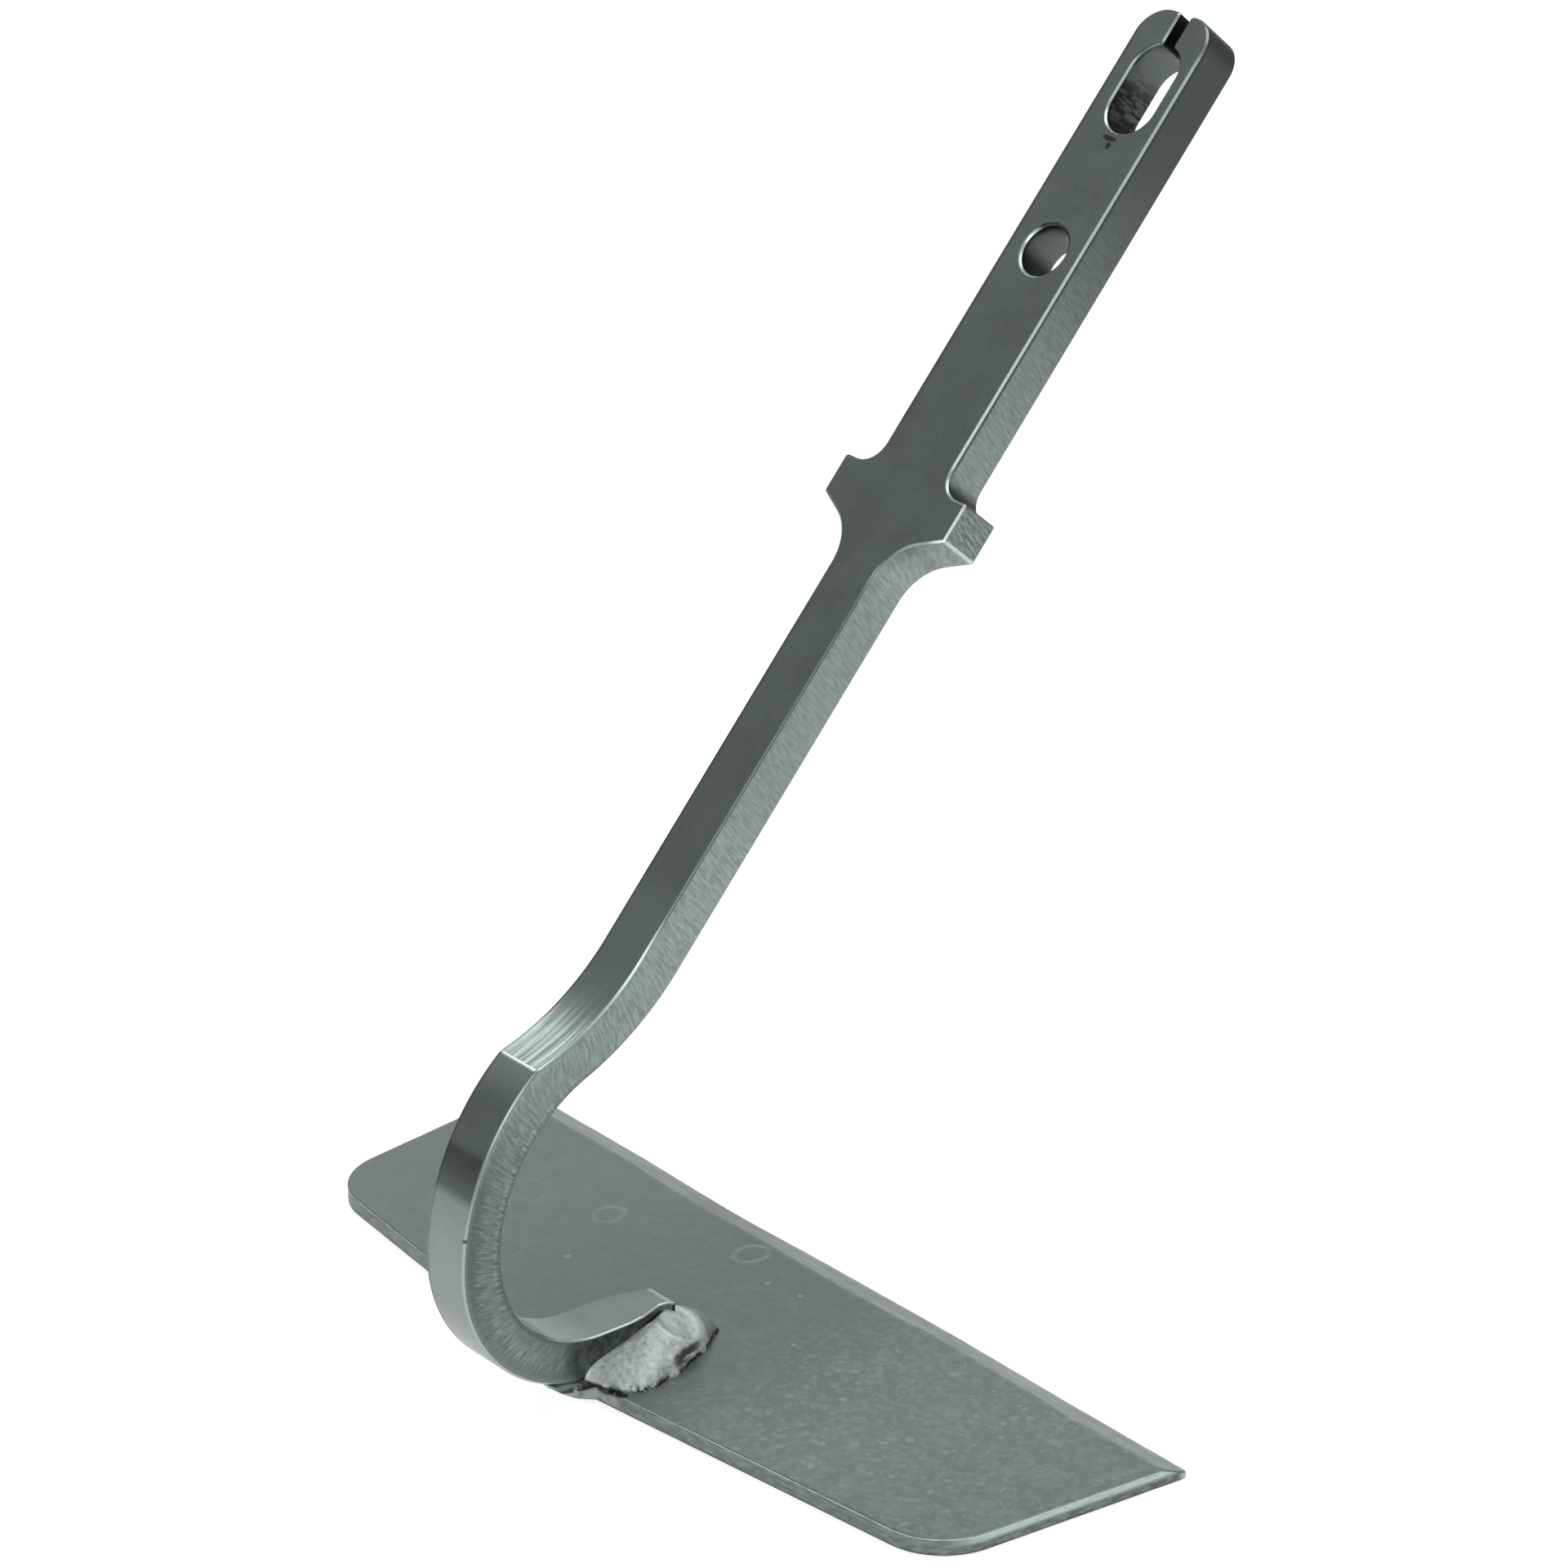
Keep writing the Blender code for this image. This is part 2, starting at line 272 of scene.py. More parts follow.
def bend_row(along):
    """Row of the bend table below a developed length, and the share of the way to the next."""
    low, high = 0, len(BEND) - 1
    while high - low > 1:
        mid = (low + high) // 2
        if BEND[mid][0] <= along:
            low = mid
        else:
            high = mid
    return low, (along - BEND[low][0]) / (BEND[high][0] - BEND[low][0])


def bent(across, along, depth):
    """Place of a point of the flat blank after bending; along runs from the foot's end."""
    if along >= BEND_LENGTH:
        side = straight_point(STRAIGHT_FROM + along - BEND_LENGTH, depth)
        return Vector((across, side.x, side.y))
    low, share = bend_row(along)
    outer = BEND[low][1].lerp(BEND[low + 1][1], share)
    inner = BEND[low][2].lerp(BEND[low + 1][2], share)
    side = outer.lerp(inner, depth / PLATE_T)
    return Vector((across, side.x, side.y))


def middle_lengths():
    """Length of the plate's middle line at each row of the bend table."""
    middles = [0.5 * (outer + inner) for _, outer, inner in BEND]
    lengths = [0.0]
    for a, b in zip(middles, middles[1:]):
        lengths.append(lengths[-1] + (b - a).length)
    return lengths


MIDDLE = middle_lengths()


def grain_along(along, depth):
    """Distance along the plate's middle line, square to its faces even in the bend."""
    if along >= BEND_LENGTH:
        return MIDDLE[-1] + along - BEND_LENGTH
    low, share = bend_row(along)
    first = 0.5 * (BEND[low][1] + BEND[low][2])
    second = 0.5 * (BEND[low + 1][1] + BEND[low + 1][2])
    outer = BEND[low][1].lerp(BEND[low + 1][1], share)
    inner = BEND[low][2].lerp(BEND[low + 1][2], share)
    off = outer.lerp(inner, depth / PLATE_T) - 0.5 * (outer + inner)
    way = (second - first).normalized()
    return MIDDLE[low] + (second - first).length * share + off.dot(way)


def up_face(along):
    """Developed length at a distance measured up the straight front face."""
    return BEND_LENGTH + along - STRAIGHT_FROM


def face_at(distance):
    """The same, for a distance in millimetres."""
    return up_face(distance * MM)


def crease(offset):
    """Developed length at an offset in millimetres from the sharp crease."""
    return CREASE_AT + offset * MM


# ---------------------------------------------------------------- shank mesh


def shank_outline():
    """Flat blank's outline (across, developed length), counter-clockwise from the foot."""
    ear_root = up_face(EAR_LOW - (EAR_HALF - NECK_HALF) * math.tan(EAR_SLOPE))
    neck = [Vector((NECK_HALF, row[0])) for row in BEND]
    near = foot_side(neck, 1.0)
    extend(near, [Vector((NECK_HALF, ear_root - 9.0 * MM))], BEND_PITCH)
    head = rounded_run(
        [
            (NECK_HALF, ear_root - 9.0 * MM, 0.0),
            (NECK_HALF, ear_root, EAR_NECK_R),
            (EAR_HALF, up_face(EAR_LOW), 0.45 * MM),
            (EAR_HALF, up_face(EAR_TOP), 0.45 * MM),
            (TANG_HALF, up_face(EAR_TOP), TANG_FILLET),
            (TANG_HALF, up_face(TIP), TIP_R),
            (TIP_JOIN, up_face(TIP), 0.0),
        ],
        0.7 * MM,
    )
    far = [Vector((-p.x, p.y)) for p in reversed(head)]
    left = foot_side([Vector((-p.x, p.y)) for p in neck], -1.0)
    extend(left, [Vector((-NECK_HALF, ear_root - 9.0 * MM))], BEND_PITCH)
    mouth = rounded_run(
        [
            (TIP_JOIN, up_face(TIP), 0.0),
            (SLIT_RIGHT, up_face(TIP), MOUTH_R),
            (SLIT_RIGHT, up_face(TIP - 1.6 * MM), 0.0),
        ],
        0.7 * MM,
    )
    lip = rounded_run(
        [
            (SLIT_LEFT, up_face(TIP - 1.6 * MM), 0.0),
            (SLIT_LEFT, up_face(TIP), MOUTH_R),
            (-TIP_JOIN, up_face(TIP), 0.0),
        ],
        0.7 * MM,
    )
    right_side = near + head[1:] + mouth[1:] + slot_wall() + lip
    return right_side + far[1:] + list(reversed(left))[1:]


def slot_wall():
    """Keyhole slot's wall from the slit's right side round to its left side."""
    high = Vector((SLOT_X, up_face(SLOT_HIGH) - SLOT_R))
    low = Vector((SLOT_X, up_face(SLOT_LOW) + SLOT_R))
    right = math.acos((SLIT_RIGHT - SLOT_X) / SLOT_R)
    left = math.acos((SLIT_LEFT - SLOT_X) / SLOT_R)
    wall = []
    for centre, start, end in (
        (high, right, 0.0),
        (low, 0.0, -math.pi),
        (high, math.pi, left),
    ):
        steps = math.ceil(abs(end - start) / math.radians(6.0))
        stretch = [
            centre + heading(start + (end - start) * k / steps) * SLOT_R
            for k in range(steps + 1)
        ]
        if wall:
            extend(wall, [stretch[0]], 0.8 * MM)
            stretch = stretch[1:]
        wall += stretch
    return wall


# Tapered nose of the foot, millimetres: (distance from the foot's end, half width).
NEAR_NOSE = ((0.0, 3.9), (1.2, 3.3), (2.4, 3.05), (4.2, 3.6), (6.6, 4.35), (9.4, 4.68))
FAR_NOSE = ((0.0, 2.1), (2.4, 2.85), (4.8, 3.75), (7.6, 4.4), (11.0, 4.68))


def foot_side(neck, sign):
    """The neck's edge with the foot's tapered nose worked in."""
    shape = NEAR_NOSE if sign > 0.0 else FAR_NOSE
    edge = []
    for point in neck:
        if 0.0 < point.y < 0.9 * MM:
            continue
        half = NECK_HALF
        for (y0, x0), (y1, x1) in zip(shape, shape[1:]):
            if y0 * MM <= point.y < y1 * MM:
                half = (x0 + (x1 - x0) * (point.y / MM - y0) / (y1 - y0)) * MM
        edge.append(Vector((sign * half, point.y)))
    return edge


def inward(loop):
    """Unit normals of a closed loop, to the left of its direction of travel."""
    count = len(loop)
    normals = []
    for i, here in enumerate(loop):
        way_in = (here - loop[i - 1]).normalized()
        way_out = (loop[(i + 1) % count] - here).normalized()
        middle = (way_in + way_out).normalized()
        stretch = 1.0 / max(0.55, middle.dot(way_in))
        normals.append(Vector((-middle.y, middle.x)) * stretch)
    return normals


def edge_levels():
    """(inset, depth) of the side wall from the front face to the back face."""
    front = ((0.40, 0.0), (0.33, 0.03), (0.03, 0.33), (0.0, 0.40))
    back = ((0.0, 0.30), (0.03, 0.24), (0.24, 0.03), (0.30, 0.0))
    levels = [(inset * MM, depth * MM) for inset, depth in front]
    levels += [(0.0, depth * MM) for depth in (1.3, 2.4, 3.5, 4.6, 5.7, 6.8)]
    return levels + [(inset * MM, PLATE_T - depth * MM) for inset, depth in back]


def side_relief(across, along, depth):
    """Depth of the saw-cut striations on the plate's cut edges."""
    on_side = smooth(0.2 * MM, 0.9 * MM, depth) * smooth(0.2 * MM, 0.8 * MM, PLATE_T - depth)
    wave = ripple(across, along, depth * 0.12, 1.0 * MM, 2)
    return on_side * 0.014 * MM * max(0.0, 0.5 + 0.5 * wave)


FACE_PITCH = 1.5 * MM


def face_points(outline, hole):
    """Points inside the outline for the front and back faces."""
    inside = []
    for row in BEND[1:]:
        inside += [Vector((x * MM, row[0])) for x in (-2.7, -0.9, 0.9, 2.7)]
    steps = int((up_face(TIP) - BEND_LENGTH) / FACE_PITCH)
    for i in range(1, steps):
        along = BEND_LENGTH + FACE_PITCH * i
        for j in range(-9, 10):
            across = (j + 0.5 * (i % 2)) * FACE_PITCH
            inside.append(Vector((across, along)))
    return [p for p in inside if far_enough(p, outline) and far_enough(p, hole)]


def far_enough(point, loop):
    limit = (1.0 * MM) ** 2
    return all((point - q).length_squared > limit for q in loop)


def within(point, loop):
    """Whether a point is inside a closed loop."""
    hit = False
    for a, b in zip(loop, loop[1:] + loop[:1]):
        if (a.y > point.y) != (b.y > point.y):
            if point.x < a.x + (point.y - a.y) * (b.x - a.x) / (b.y - a.y):
                hit = not hit
    return hit


def triangulate(outline, holes, inside):
    """Triangles over an outline with holes and inner points, as (points, faces)."""
    loops = [outline] + holes
    points = []
    edges = []
    for loop in loops:
        first = len(points)
        count = len(loop)
        points += loop
        edges += [(first + i, first + (i + 1) % count) for i in range(count)]
    points = points + [p for p in inside if within(p, outline)]
    scaled = [p / MM for p in points]
    made = geometry.delaunay_2d_cdt(scaled, edges, [], 0, 1e-5)
    places, faces = made[0], made[2]
    kept = []
    for face in faces:
        middle = sum((places[i] for i in face), Vector((0.0, 0.0))) / len(face) * MM
        if within(middle, outline) and not any(within(middle, hole) for hole in holes):
            kept.append([made[3][i][0] for i in face])
    return points, kept


def face_wave(across, along):
    """Slight unevenness of the rolled faces."""
    return 0.008 * MM * ripple(across, along, 0.0, 9.0 * MM, 2)


def join_rings(rings):
    """Quads between rings that have equally many points."""
    faces = []
    for upper, lower in zip(rings, rings[1:]):
        count = len(upper)
        for i in range(count):
            j = (i + 1) % count
            faces.append((upper[i], lower[i], lower[j], upper[j]))
    return faces


def fill_cap(points, faces, rings, inside, level_at, front):
    """Fills the area in the first ring, less the other rings, with triangles."""
    loops = [[Vector(points[i][:2]) for i in ring] for ring in rings]
    places, found = triangulate(loops[0], loops[1:], inside)
    index = [i for ring in rings for i in ring]
    for place in places[len(index):]:
        index.append(len(points))
        points.append((place.x, place.y, level_at(place)))
    for face in found:
        order = face if front else face[::-1]
        faces.append(tuple(index[i] for i in order))


def wall_ring(loop, normals, inset, depth, on_outline):
    """Ring at one depth of a wall: the outline has saw marks, the hole a wider worn corner."""
    ring = []
    for point, normal in zip(loop, normals):
        if on_outline:
            grain = grain_along(point.y, depth) + SLANT * depth
            shift = inset + side_relief(point.x, grain, depth)
        else:
            shift = inset * HOLE_WEAR if depth < 1.0 * MM else inset
        place = point + normal * shift
        ring.append((place.x, place.y, depth))
    return ring


def build_shank_mesh():
    """The bent points, the faces, and the same points on the flat blank."""
    outline = shank_outline()
    centre = Vector((HOLE_X, up_face(HOLE_AT)))
    circle = [centre + heading(-2.0 * math.pi * i / 60) * HOLE_R for i in range(60)]
    flat = []
    faces = []
    walls = []
    for loop in (outline, circle):
        normals = inward(loop)
        rings = []
        for inset, depth in edge_levels():
            ring = wall_ring(loop, normals, inset, depth, loop is outline)
            rings.append(list(range(len(flat), len(flat) + len(ring))))
            flat += ring
        walls.append(rings)
        faces += join_rings(rings)
    inside = face_points(outline, circle)

    def front_level(point):
        return face_wave(point.x, point.y) + FACE_LIFT

    def back_level(point):
        return PLATE_T - front_level(point)

    fill_cap(flat, faces, [rings[0] for rings in walls], inside, front_level, True)
    fill_cap(flat, faces, [rings[-1] for rings in walls], inside, back_level, False)
    return [bent(*place) for place in flat], faces, flat


def make_piece(name, verts, faces, node, sheet=None):
    """Named piece riding the root body and standing for one CAD node."""
    mesh = bpy.data.meshes.new(name)
    mesh.from_pydata(verts, [], faces)
    if sheet is not None:
        layer = mesh.attributes.new("sheet", "FLOAT_VECTOR", "POINT")
        layer.data.foreach_set("vector", [value for place in sheet for value in place])
        layer = mesh.attributes.new("grain", "FLOAT", "POINT")
        layer.data.foreach_set("value", [grain_along(along, depth) for _, along, depth in sheet])
    shape = bmesh.new()
    shape.from_mesh(mesh)
    bmesh.ops.recalc_face_normals(shape, faces=shape.faces)
    shape.to_mesh(mesh)
    shape.free()
    mesh.polygons.foreach_set("use_smooth", [True] * len(mesh.polygons))
    mesh.set_sharp_from_angle(angle=SHARP_ANGLE)
    if sheet is not None:
        on_rim = [place[2] in (0.0, PLATE_T) for place in sheet]
        for edge in mesh.edges:
            if all(on_rim[k] for k in edge.vertices):
                edge.use_edge_sharp = True
    piece = bpy.data.objects.new(name, mesh)
    weighted = piece.modifiers.new("face_weighted_normals", "WEIGHTED_NORMAL")
    weighted.keep_sharp = True
    bpy.context.scene.collection.objects.link(piece)
    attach(piece, "root")
    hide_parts(node)
    return piece


# ---------------------------------------------------------------- blade mesh


def cutting_edge(x):
    """The cutting edge's y, worn a little wavy."""
    dent = -0.60 * math.exp(-(((x + 27.0 * MM) / (17.0 * MM)) ** 2))
    swell = 0.28 * math.exp(-(((x - 27.0 * MM) / (17.0 * MM)) ** 2))
    fine = 0.06 * ripple(x, 0.0, 3.0, 6.0 * MM, 3)
    return EDGE_Y + (dent + swell + fine) * MM


def blade_outline(pitch):
    """Blade outline, counter-clockwise from the middle of the cutting edge."""
    ends = [(-CORNER_X, CORNER_Y, CORNER_R), (0.0, PEAK_Y, PEAK_R), (CORNER_X, CORNER_Y, CORNER_R)]
    tips = [(EDGE_HALF, EDGE_Y, TIP_ROUND), (-EDGE_HALF, EDGE_Y, TIP_ROUND)]
    loop = rounded_run([(0.0, EDGE_Y, 0.0), tips[1]] + ends + [tips[0], (0.0, EDGE_Y, 0.0)], pitch)[1:]
    return [settle(p) for p in loop]


def settle(point):
    """Outline point with the worn edge's and the sheared sides' unevenness."""
    share = smooth(EDGE_Y - 4.0 * MM, EDGE_Y, point.y)
    wear_and_edge_shade = cutting_edge(point.x) - EDGE_Y
    rough = 0.06 * MM * (0.5 + 0.5 * ripple(point.x, point.y, 7.0, 5.0 * MM, 3))
    toward = -1.0 if point.x > 0.0 else 1.0
    return Vector((point.x + toward * rough, point.y + wear_and_edge_shade * share))


def bevel_line(x):
    """Distance from the cutting edge to the inner line of its ground bevel."""
    slow = 0.35 * ripple(x, 0.0, 11.0, 16.0 * MM, 2)
    near_shank = 0.9 * math.exp(-((x / (18.0 * MM)) ** 2))
    return BEVEL_W + (slow + near_shank) * MM - 0.1 * MM


def blade_height(x, y):
    """Top surface of the blade, with the ground bevel let in."""
    back = cutting_edge(x) - y
    width = bevel_line(x)
    dip = 0.025 * MM * ripple(x, y, 2.0, 22.0 * MM, 3)
    flat = BLADE_TOP - 0.03 * MM + dip
    slope = EDGE_LAND + (BLADE_TOP - EDGE_LAND) * (back / width)
    grind = 0.02 * MM * ripple(x, y * 0.15, 4.0, 1.2 * MM, 2)
    blend = smooth(0.88, 1.10, back / width)
    return (slope + grind) * (1.0 - blend) + flat * blend if back < width * 1.10 else flat


def blade_inside():
    """Points inside the blade's outline: rows along the bevel and a grid behind it."""
    inside = []
    for i in range(-80, 81):
        x = i * MM
        for back in (0.9, 1.8, 2.7, 3.6, 4.4, 5.0, 5.5, 6.0, 6.6):
            share = back * MM / BEVEL_W
            inside.append(Vector((x, cutting_edge(x) - share * bevel_line(x))))
    for i in range(-40, 41):
        for j in range(-20, 15):
            x = (i + 0.5 * (j % 2)) * 2.0 * MM
            y = j * 1.6 * MM
            if cutting_edge(x) - y > 8.2 * MM:
                inside.append(Vector((x, y)))
    return inside


def blade_ring(outline, normals, level):
    """Ring of the blade's wall: the first half of the levels rounds its top, the rest its sole."""
    steps = len(EDGE_ROUND)
    ring = []
    for point, normal in zip(outline, normals):
        height = blade_height(point.x, point.y)
        thin = min(1.0, height / (1.6 * MM))
        if level < steps:
            inset = EDGE_ROUND[level] * MM * thin
            z = height - EDGE_ROUND[steps - 1 - level] * MM * thin
        else:
            k = 2 * steps - 1 - level
            inset = EDGE_ROUND[k] * 0.8 * MM * thin
            z = EDGE_ROUND[steps - 1 - k] * 0.8 * MM * thin
        if level in (steps - 1, steps):
            inset += 0.05 * MM * (0.5 + 0.5 * ripple(point.x, point.y, level * 1.0, 1.5 * MM, 2))
        place = point + normal * inset
        if level == 0:
            z = blade_height(place.x, place.y)
        ring.append((place.x, place.y, max(0.0, z)))
    return ring


def build_blade_mesh():
    outline = blade_outline(1.0 * MM)
    normals = inward(outline)
    verts = []
    rings = []
    for level in range(2 * len(EDGE_ROUND)):
        ring = blade_ring(outline, normals, level)
        rings.append(list(range(len(verts), len(verts) + len(ring))))
        verts += ring
    faces = join_rings(rings)
    clear = 0.7 * MM
    inside = [p for p in blade_inside() if all((p - q).length > clear for q in outline)]
    fill_cap(verts, faces, rings[:1], inside, lambda point: blade_height(point.x, point.y), True)
    fill_cap(verts, faces, rings[-1:], inside, lambda point: 0.0, False)
    return verts, faces


# ---------------------------------------------------------------- weld beads


def spline(points, share):
    """Point at a share of a run of control points, Catmull-Rom."""
    last = len(points) - 1
    place = min(last - 1e-9, max(0.0, share * last))
    k = int(place)
    t = place - k
    p0 = points[max(0, k - 1)]
    p1 = points[k]
    p2 = points[k + 1]
    p3 = points[min(last, k + 2)]
    return tuple(
        0.5 * (2 * b + (c - a) * t + (2 * a - 5 * b + 4 * c - d) * t * t + (3 * b - a - 3 * c + d) * t ** 3)
        for a, b, c, d in zip(p0, p1, p2, p3)
    )


# Side beads, millimetres: upper boundary (x, y, z) and toe (x, y) on the blade.
BEAD_TOP = (
    (4.4, -28.2, 4.2),
    (4.5, -26.4, 5.7),
    (4.6, -23.3, 6.7),
    (4.6, -19.3, 7.7),
    (4.4, -16.1, 8.6),
    (3.9, -13.7, 8.8),
    (3.2, -11.2, 9.2),
    (2.4, -9.5, 9.0),
    (0.6, -9.0, 8.2),
    (-1.4, -9.2, 7.0),
    (-2.8, -10.6, 4.6),
)
BEAD_TOE = (
    (4.6, -27.8),
    (7.4, -26.6),
    (10.4, -25.4),
    (12.0, -22.4),
    (12.3, -18.6),
    (11.2, -14.6),
    (9.6, -10.6),
    (7.4, -5.6),
    (4.4, -2.2),
    (-0.6, -1.4),
    (-4.4, -4.6),
)
# The hidden bead stops beside the foot, after this many boundary points.
LEFT_POINTS = 8

# Crater at the end of the right bead, millimetres: (x, y, radius).
CRATER = (5.6, -10.6, 3.6)


def bead_texture(x, y, z, seed):
    """Height of a bead's solidification ripples and lumps, millimetres."""
    lumps = 0.08 * ripple(x, y, z + seed, 2.6, 2)
    fine = 0.05 * ripple(x, y, z + seed, 0.7, 3)
    from_crater = math.hypot(x - CRATER[0], y - CRATER[1])
    rings = 0.02 * math.sin(from_crater * 5.2 + 2.6 * ripple(x, y, seed, 2.0, 2))
    return lumps + fine + rings


def build_side_bead(sign, seed, points):
    """Plump fillet bead beside the foot, wrapped round its nose and ending in a crater."""
    columns, rows = 116, 44
    verts = []
    faces = []
    base = BLADE_TOP / MM - 0.05
    for i in range(columns + 1):
        share = i / columns
        top = spline(BEAD_TOP[:points], share)
        toe = spline(BEAD_TOE[:points], share)
        out = Vector((toe[0] - top[0], toe[1] - top[1]))
        wobble = 1.0 + 0.09 * ripple(toe[0], toe[1], seed, 1.9, 3)
        full = 1.0 / (1.18 + 0.42 * smooth(0.1, 0.75, share))
        lean = out.normalized()
        closing = 1.0 - 0.82 * smooth(0.80, 1.0, share) if points == LEFT_POINTS else 1.0
        for j in range(rows + 1):
            turn = 0.5 * math.pi * j / rows
            ragged = 1.0 + (wobble - 1.0) * smooth(0.55, 1.0, j / rows)
            reach = math.sin(turn) ** (2.0 * full) * ragged
            rise = max(0.0, math.cos(turn)) ** (2.0 * full)
            x = top[0] + out.x * reach * (0.3 + 0.7 * closing)
            y = top[1] + out.y * reach * (0.3 + 0.7 * closing)
            z = base + (top[2] - base) * rise * closing
            edge = smooth(0.0, 0.2, j / rows) * smooth(0.0, 0.12, 1.0 - j / rows)
            edge *= smooth(0.0, 0.05, share) * smooth(0.0, 0.05, 1.0 - share)
            groove = math.exp(-(((j / rows - 0.80) / 0.06) ** 2) - ((share - 0.57) / 0.07) ** 2)
            rough = (bead_texture(x, y, z, seed) - crater_depth(x, y) - 0.7 * groove) * edge
            side = min(1.0, j / rows * 1.2) * 0.7
            place = Vector((x + lean.x * side * rough, y + lean.y * side * rough, z + rough * 0.8))
            place.z = max(base, place.z)
            verts.append(Vector((sign * place.x, place.y, place.z)) * MM)
    for i in range(columns):
        for j in range(rows):
            a = i * (rows + 1) + j
            b = a + rows + 1
            faces.append((a, b, b + 1, a + 1))
    return close_underneath(verts, faces, columns, rows, sign)


def crater_depth(x, y):
    """Shrinkage crater with a raised rim at the bead's end, millimetres."""
    away = math.hypot((x - CRATER[0]) * 1.05, (y - CRATER[1]) * 0.9)
    pit = 0.38 * math.exp(-((away / (0.62 * CRATER[2])) ** 4))
    rim = 0.34 * math.exp(-(((away - CRATER[2] * 0.86) / 0.48) ** 2))
    return pit - rim


def close_underneath(verts, faces, columns, rows, sign):
    """Closes a bead sheet with a hidden floor below it and behind it."""
    border = [j for j in range(rows + 1)]
    border += [i * (rows + 1) + rows for i in range(1, columns + 1)]
    border += [columns * (rows + 1) + j for j in range(rows - 1, -1, -1)]
    border += [i * (rows + 1) for i in range(columns - 1, 0, -1)]
    lowered = []
    floor = BLADE_TOP - 0.25 * MM
    for index in border:
        place = verts[index]
        inner = Vector((place.x - sign * 0.5 * MM, place.y, floor))
        lowered.append(len(verts))
        verts.append(inner)
    middle = sum((verts[i] for i in lowered), Vector()) / len(lowered)
    verts.append(Vector((middle.x, middle.y, floor)))
    centre = len(verts) - 1
    count = len(border)
    for k in range(count):
        n = (k + 1) % count
        faces.append((border[k], border[n], lowered[n], lowered[k]))
        faces.append((lowered[k], lowered[n], centre))
    return verts, faces


def heel_under(y):
    """Height of the heel's underside behind the blade, millimetres."""
    radius = OUTER_HEEL_R / MM
    fall = max(0.0, OUTER_START / MM - y)
    return FOOT_UNDER / MM + radius - math.sqrt(max(0.0, radius ** 2 - fall ** 2))


def build_heel_bead(seed):
    """Lumpy weld closing the corner between the heel and the blade's rear edge."""
    columns, around = 72, 18
    rings = []
    for i in range(columns + 1):
        share = i / columns
        x = -6.6 + 18.4 * share
        fade = math.sqrt(max(0.02, 1.0 - abs(2.0 * share - 1.0) ** 5))
        lump = 0.30 * ripple(x, 0.0, seed, 2.6, 2)
        edge = PEAK_Y / MM + 0.30 + 0.11 * abs(x)
        under = smooth(0.0, 2.6, 6.6 - abs(x))
        reach = (1.1 + 7.2 * under + 0.6 * lump) * fade
        far_z = heel_under(edge - reach) - 0.1
        far = Vector((edge - reach, far_z * under + 2.6 * (1.0 - under)))
        near = Vector((edge, max(0.08, 1.3 - 1.3 * fade)))
        ring = []
        for j in range(around + 1):
            t = j / around
            point = far.lerp(near, t)
            fine = 0.05 * ripple(x, point.x, point.y + seed, 0.9, 3)
            belly = ((0.35 + 0.55 * under + 0.6 * lump) * fade + fine) * math.sin(math.pi * t)
            point += Vector((-0.55, -0.83)) * belly
            ring.append(Vector((x, point.x, max(0.06, point.y))) * MM)
        ring.append(Vector((x, edge + 0.4, 1.6)) * MM)
        ring.append(Vector((x, edge + 0.4, BLADE_TOP / MM + 0.18 + 0.15 * lump)) * MM)
        middle = far.x + 0.5 * reach
        over = heel_under(middle) + 0.1
        ring.append(Vector((x, middle, over * under + 3.1 * (1.0 - under))) * MM)
        rings.append(ring)
    size = len(rings[0])
    verts = [point for ring in rings for point in ring]
    faces = [tuple(range(size)), tuple(range(len(verts) - size, len(verts)))[::-1]]
    for row in range(len(rings) - 1):
        for i in range(size):
            a = row * size + i
            b = row * size + (i + 1) % size
            faces.append((a, b, b + size, a + size))
    return verts, faces


# ---------------------------------------------------------------- materials


